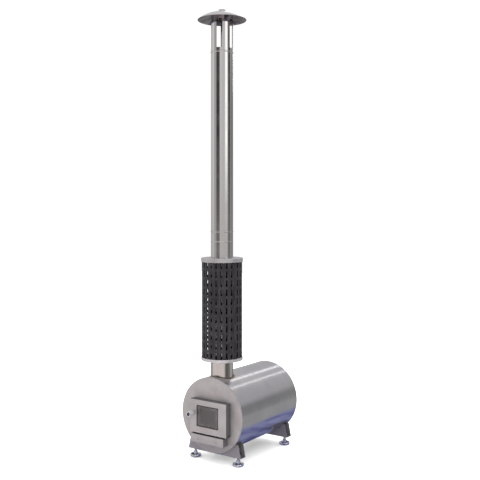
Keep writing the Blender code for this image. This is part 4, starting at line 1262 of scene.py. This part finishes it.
def make_studio():
    floor_shape = bmesh.new()
    bmesh.ops.create_grid(floor_shape, x_segments=1, y_segments=1, size=9.0)
    floor = to_object("floor", floor_shape)
    paint = Finish("floor_paint", metallic=0.0, specular=0.0)
    grain = paint.noise(paint.here, scale=3.0)
    paint.set("Base Color", paint.mix(grain, (0.945, 0.945, 0.945), (0.965, 0.965, 0.965)))
    paint.set("Roughness", 0.9)
    floor.data.materials.append(paint.material)
    floor.visible_glossy = False

    # two coloured sheets on the floor, seen only in the steel above them
    sheet = 0.001
    card("ground_sheet", [(-0.50, -0.24, sheet), (0.36, -0.24, sheet), (0.36, 1.4, sheet),
        (-0.50, 1.4, sheet)], ground_tone, 1.0)
    card("front_sheet", [(-0.42, -0.50, sheet), (0.30, -0.50, sheet), (0.30, -0.25, sheet),
        (-0.42, -0.25, sheet)], (0.62, 0.59, 0.66), 0.90)
    # a tall sheet far behind on the right: the bright side of the rain cap
    glint = FLUE - TOWARDS * 3.0
    card("cap_sheet", [tuple(glint + RIGHTWARDS * across + Vector((0, 0, high))) for across,
        high in ((0.02, 3.35), (1.6, 3.35), (1.6, 4.9), (0.02, 4.9))], (1.0, 1.0, 1.02), 1.5)
    # strip lights high behind the heater draw the bright lines along the drum
    for name, x, near, wide, strength in (("strip_left", -0.86, 2.50, 0.10, 3.4),
            ("strip_right", 0.50, 2.60, 0.07, 3.0)):
        high = 3.0
        card(name, [(x - wide, near, high), (x + wide, near, high), (x + wide, 7.0, high),
            (x - wide, 7.0, high)], 1.0, strength)

    world = bpy.data.worlds.new("studio")
    bpy.context.scene.world = world
    world.use_nodes = True
    world.cycles.sampling_method = "NONE"
    graph = Graph(world.node_tree)
    way = graph.add("TexCoord").outputs["Generated"]
    near = graph.add("VectorMath", {0: way, 1: TOWARDS}, operation="DOT_PRODUCT")
    side = graph.add("VectorMath", {0: way, 1: RIGHTWARDS}, operation="DOT_PRODUCT")
    azimuth = graph.math("ARCTAN2", side.outputs["Value"], near.outputs["Value"])
    turn = graph.math("MULTIPLY_ADD", azimuth, 1 / (2 * math.pi), 0.5)
    up = graph.add("SeparateXYZ", {0: way}).outputs[2]

    def panels(bands):
        """Soft-edged panels and flags: (degrees right of the camera, brightness)."""
        stops = []
        for degrees, tone in bands:
            stops.append((degrees / 360 + 0.5, tone))
        return graph.ramp(turn, stops)

    walls = panels([(-180, 0.60), (-130, 0.70), (-104, 0.80), (-96, 1.00), (-86, 0.64), (-78, 0.44),
        (-69, 0.60), (-62, 0.40), (-55, 0.12), (-47, 0.045), (-32, 0.045), (-25, 0.20), (-16, 0.86),
        (4, 0.74), (26, 0.72), (38, 0.78), (53, 0.78), (61, 0.60), (68, 0.15), (76, 0.055), (90, 0.10),
        (97, 0.36), (113, 0.36), (119, 0.18), (134, 0.22), (160, 0.50), (180, 0.60)])
    walls = graph.mix(graph.spread(up, 0.11, -0.10, 0.0, 0.46), walls, (0.44, 0.425, 0.43))
    lamp = graph.times(graph.spread(azimuth, math.radians(29), math.radians(39)),
        graph.spread(azimuth, math.radians(62), math.radians(54)))
    lamp = graph.times(lamp, graph.spread(up, 0.0, 0.09))
    walls = graph.mix(lamp, walls, (1.75, 1.75, 1.75))
    warm = (0.90, 0.835, 0.825)
    ground = panels([(-180, 0.34), (-132, 0.36), (-120, (0.36, 0.36, 0.46)), (-100, warm), (24, warm),
        (31, 0.46), (36, 0.20), (48, 0.105), (62, 0.13), (72, 0.24), (80, 0.18), (92, 0.38), (97, 0.50),
        (114, 0.52), (150, 0.36), (180, 0.34)])
    low_ceiling = graph.blend(up, 0.10, 0.30, walls, (0.68, 0.67, 0.69))
    ceiling = graph.blend(up, 0.45, 0.80, low_ceiling, (0.78, 0.775, 0.80))
    side_on = graph.spread(graph.math("ABSOLUTE", graph.minus(azimuth, 1.88)), 0.24, 0.16)
    above = graph.mix(side_on, graph.blend(up, 0.20, 0.42, walls, ceiling), ceiling)
    seen = graph.blend(up, -0.09, -0.17, above, ground)
    path = graph.add("LightPath")
    mirrored = graph.times(path.outputs["Is Glossy Ray"],
        graph.math("LESS_THAN", path.outputs["Diffuse Depth"], 0.5))
    bright = graph.mix(path.outputs["Is Diffuse Ray"], (1.06, 1.06, 1.06), (2.5, 2.5, 2.5))
    shown = graph.mix(mirrored, bright, seen)
    background = world.node_tree.nodes["Background"]
    world.node_tree.links.new(shown, background.inputs["Color"])
    bpy.context.scene.view_settings.view_transform = "Standard"


# ---------------------------------------------------------------- build
make_drum()
make_firebox()
make_sockets()
make_door()
make_handle()
make_drawer()
make_saddle("front_saddle")
make_saddle("rear_saddle")
for foot in ("front_left", "front_right", "rear_left", "rear_right"):
    make_foot(foot)
make_flue()
make_cowl()
make_rain_cap()
make_guard()
make_studio()
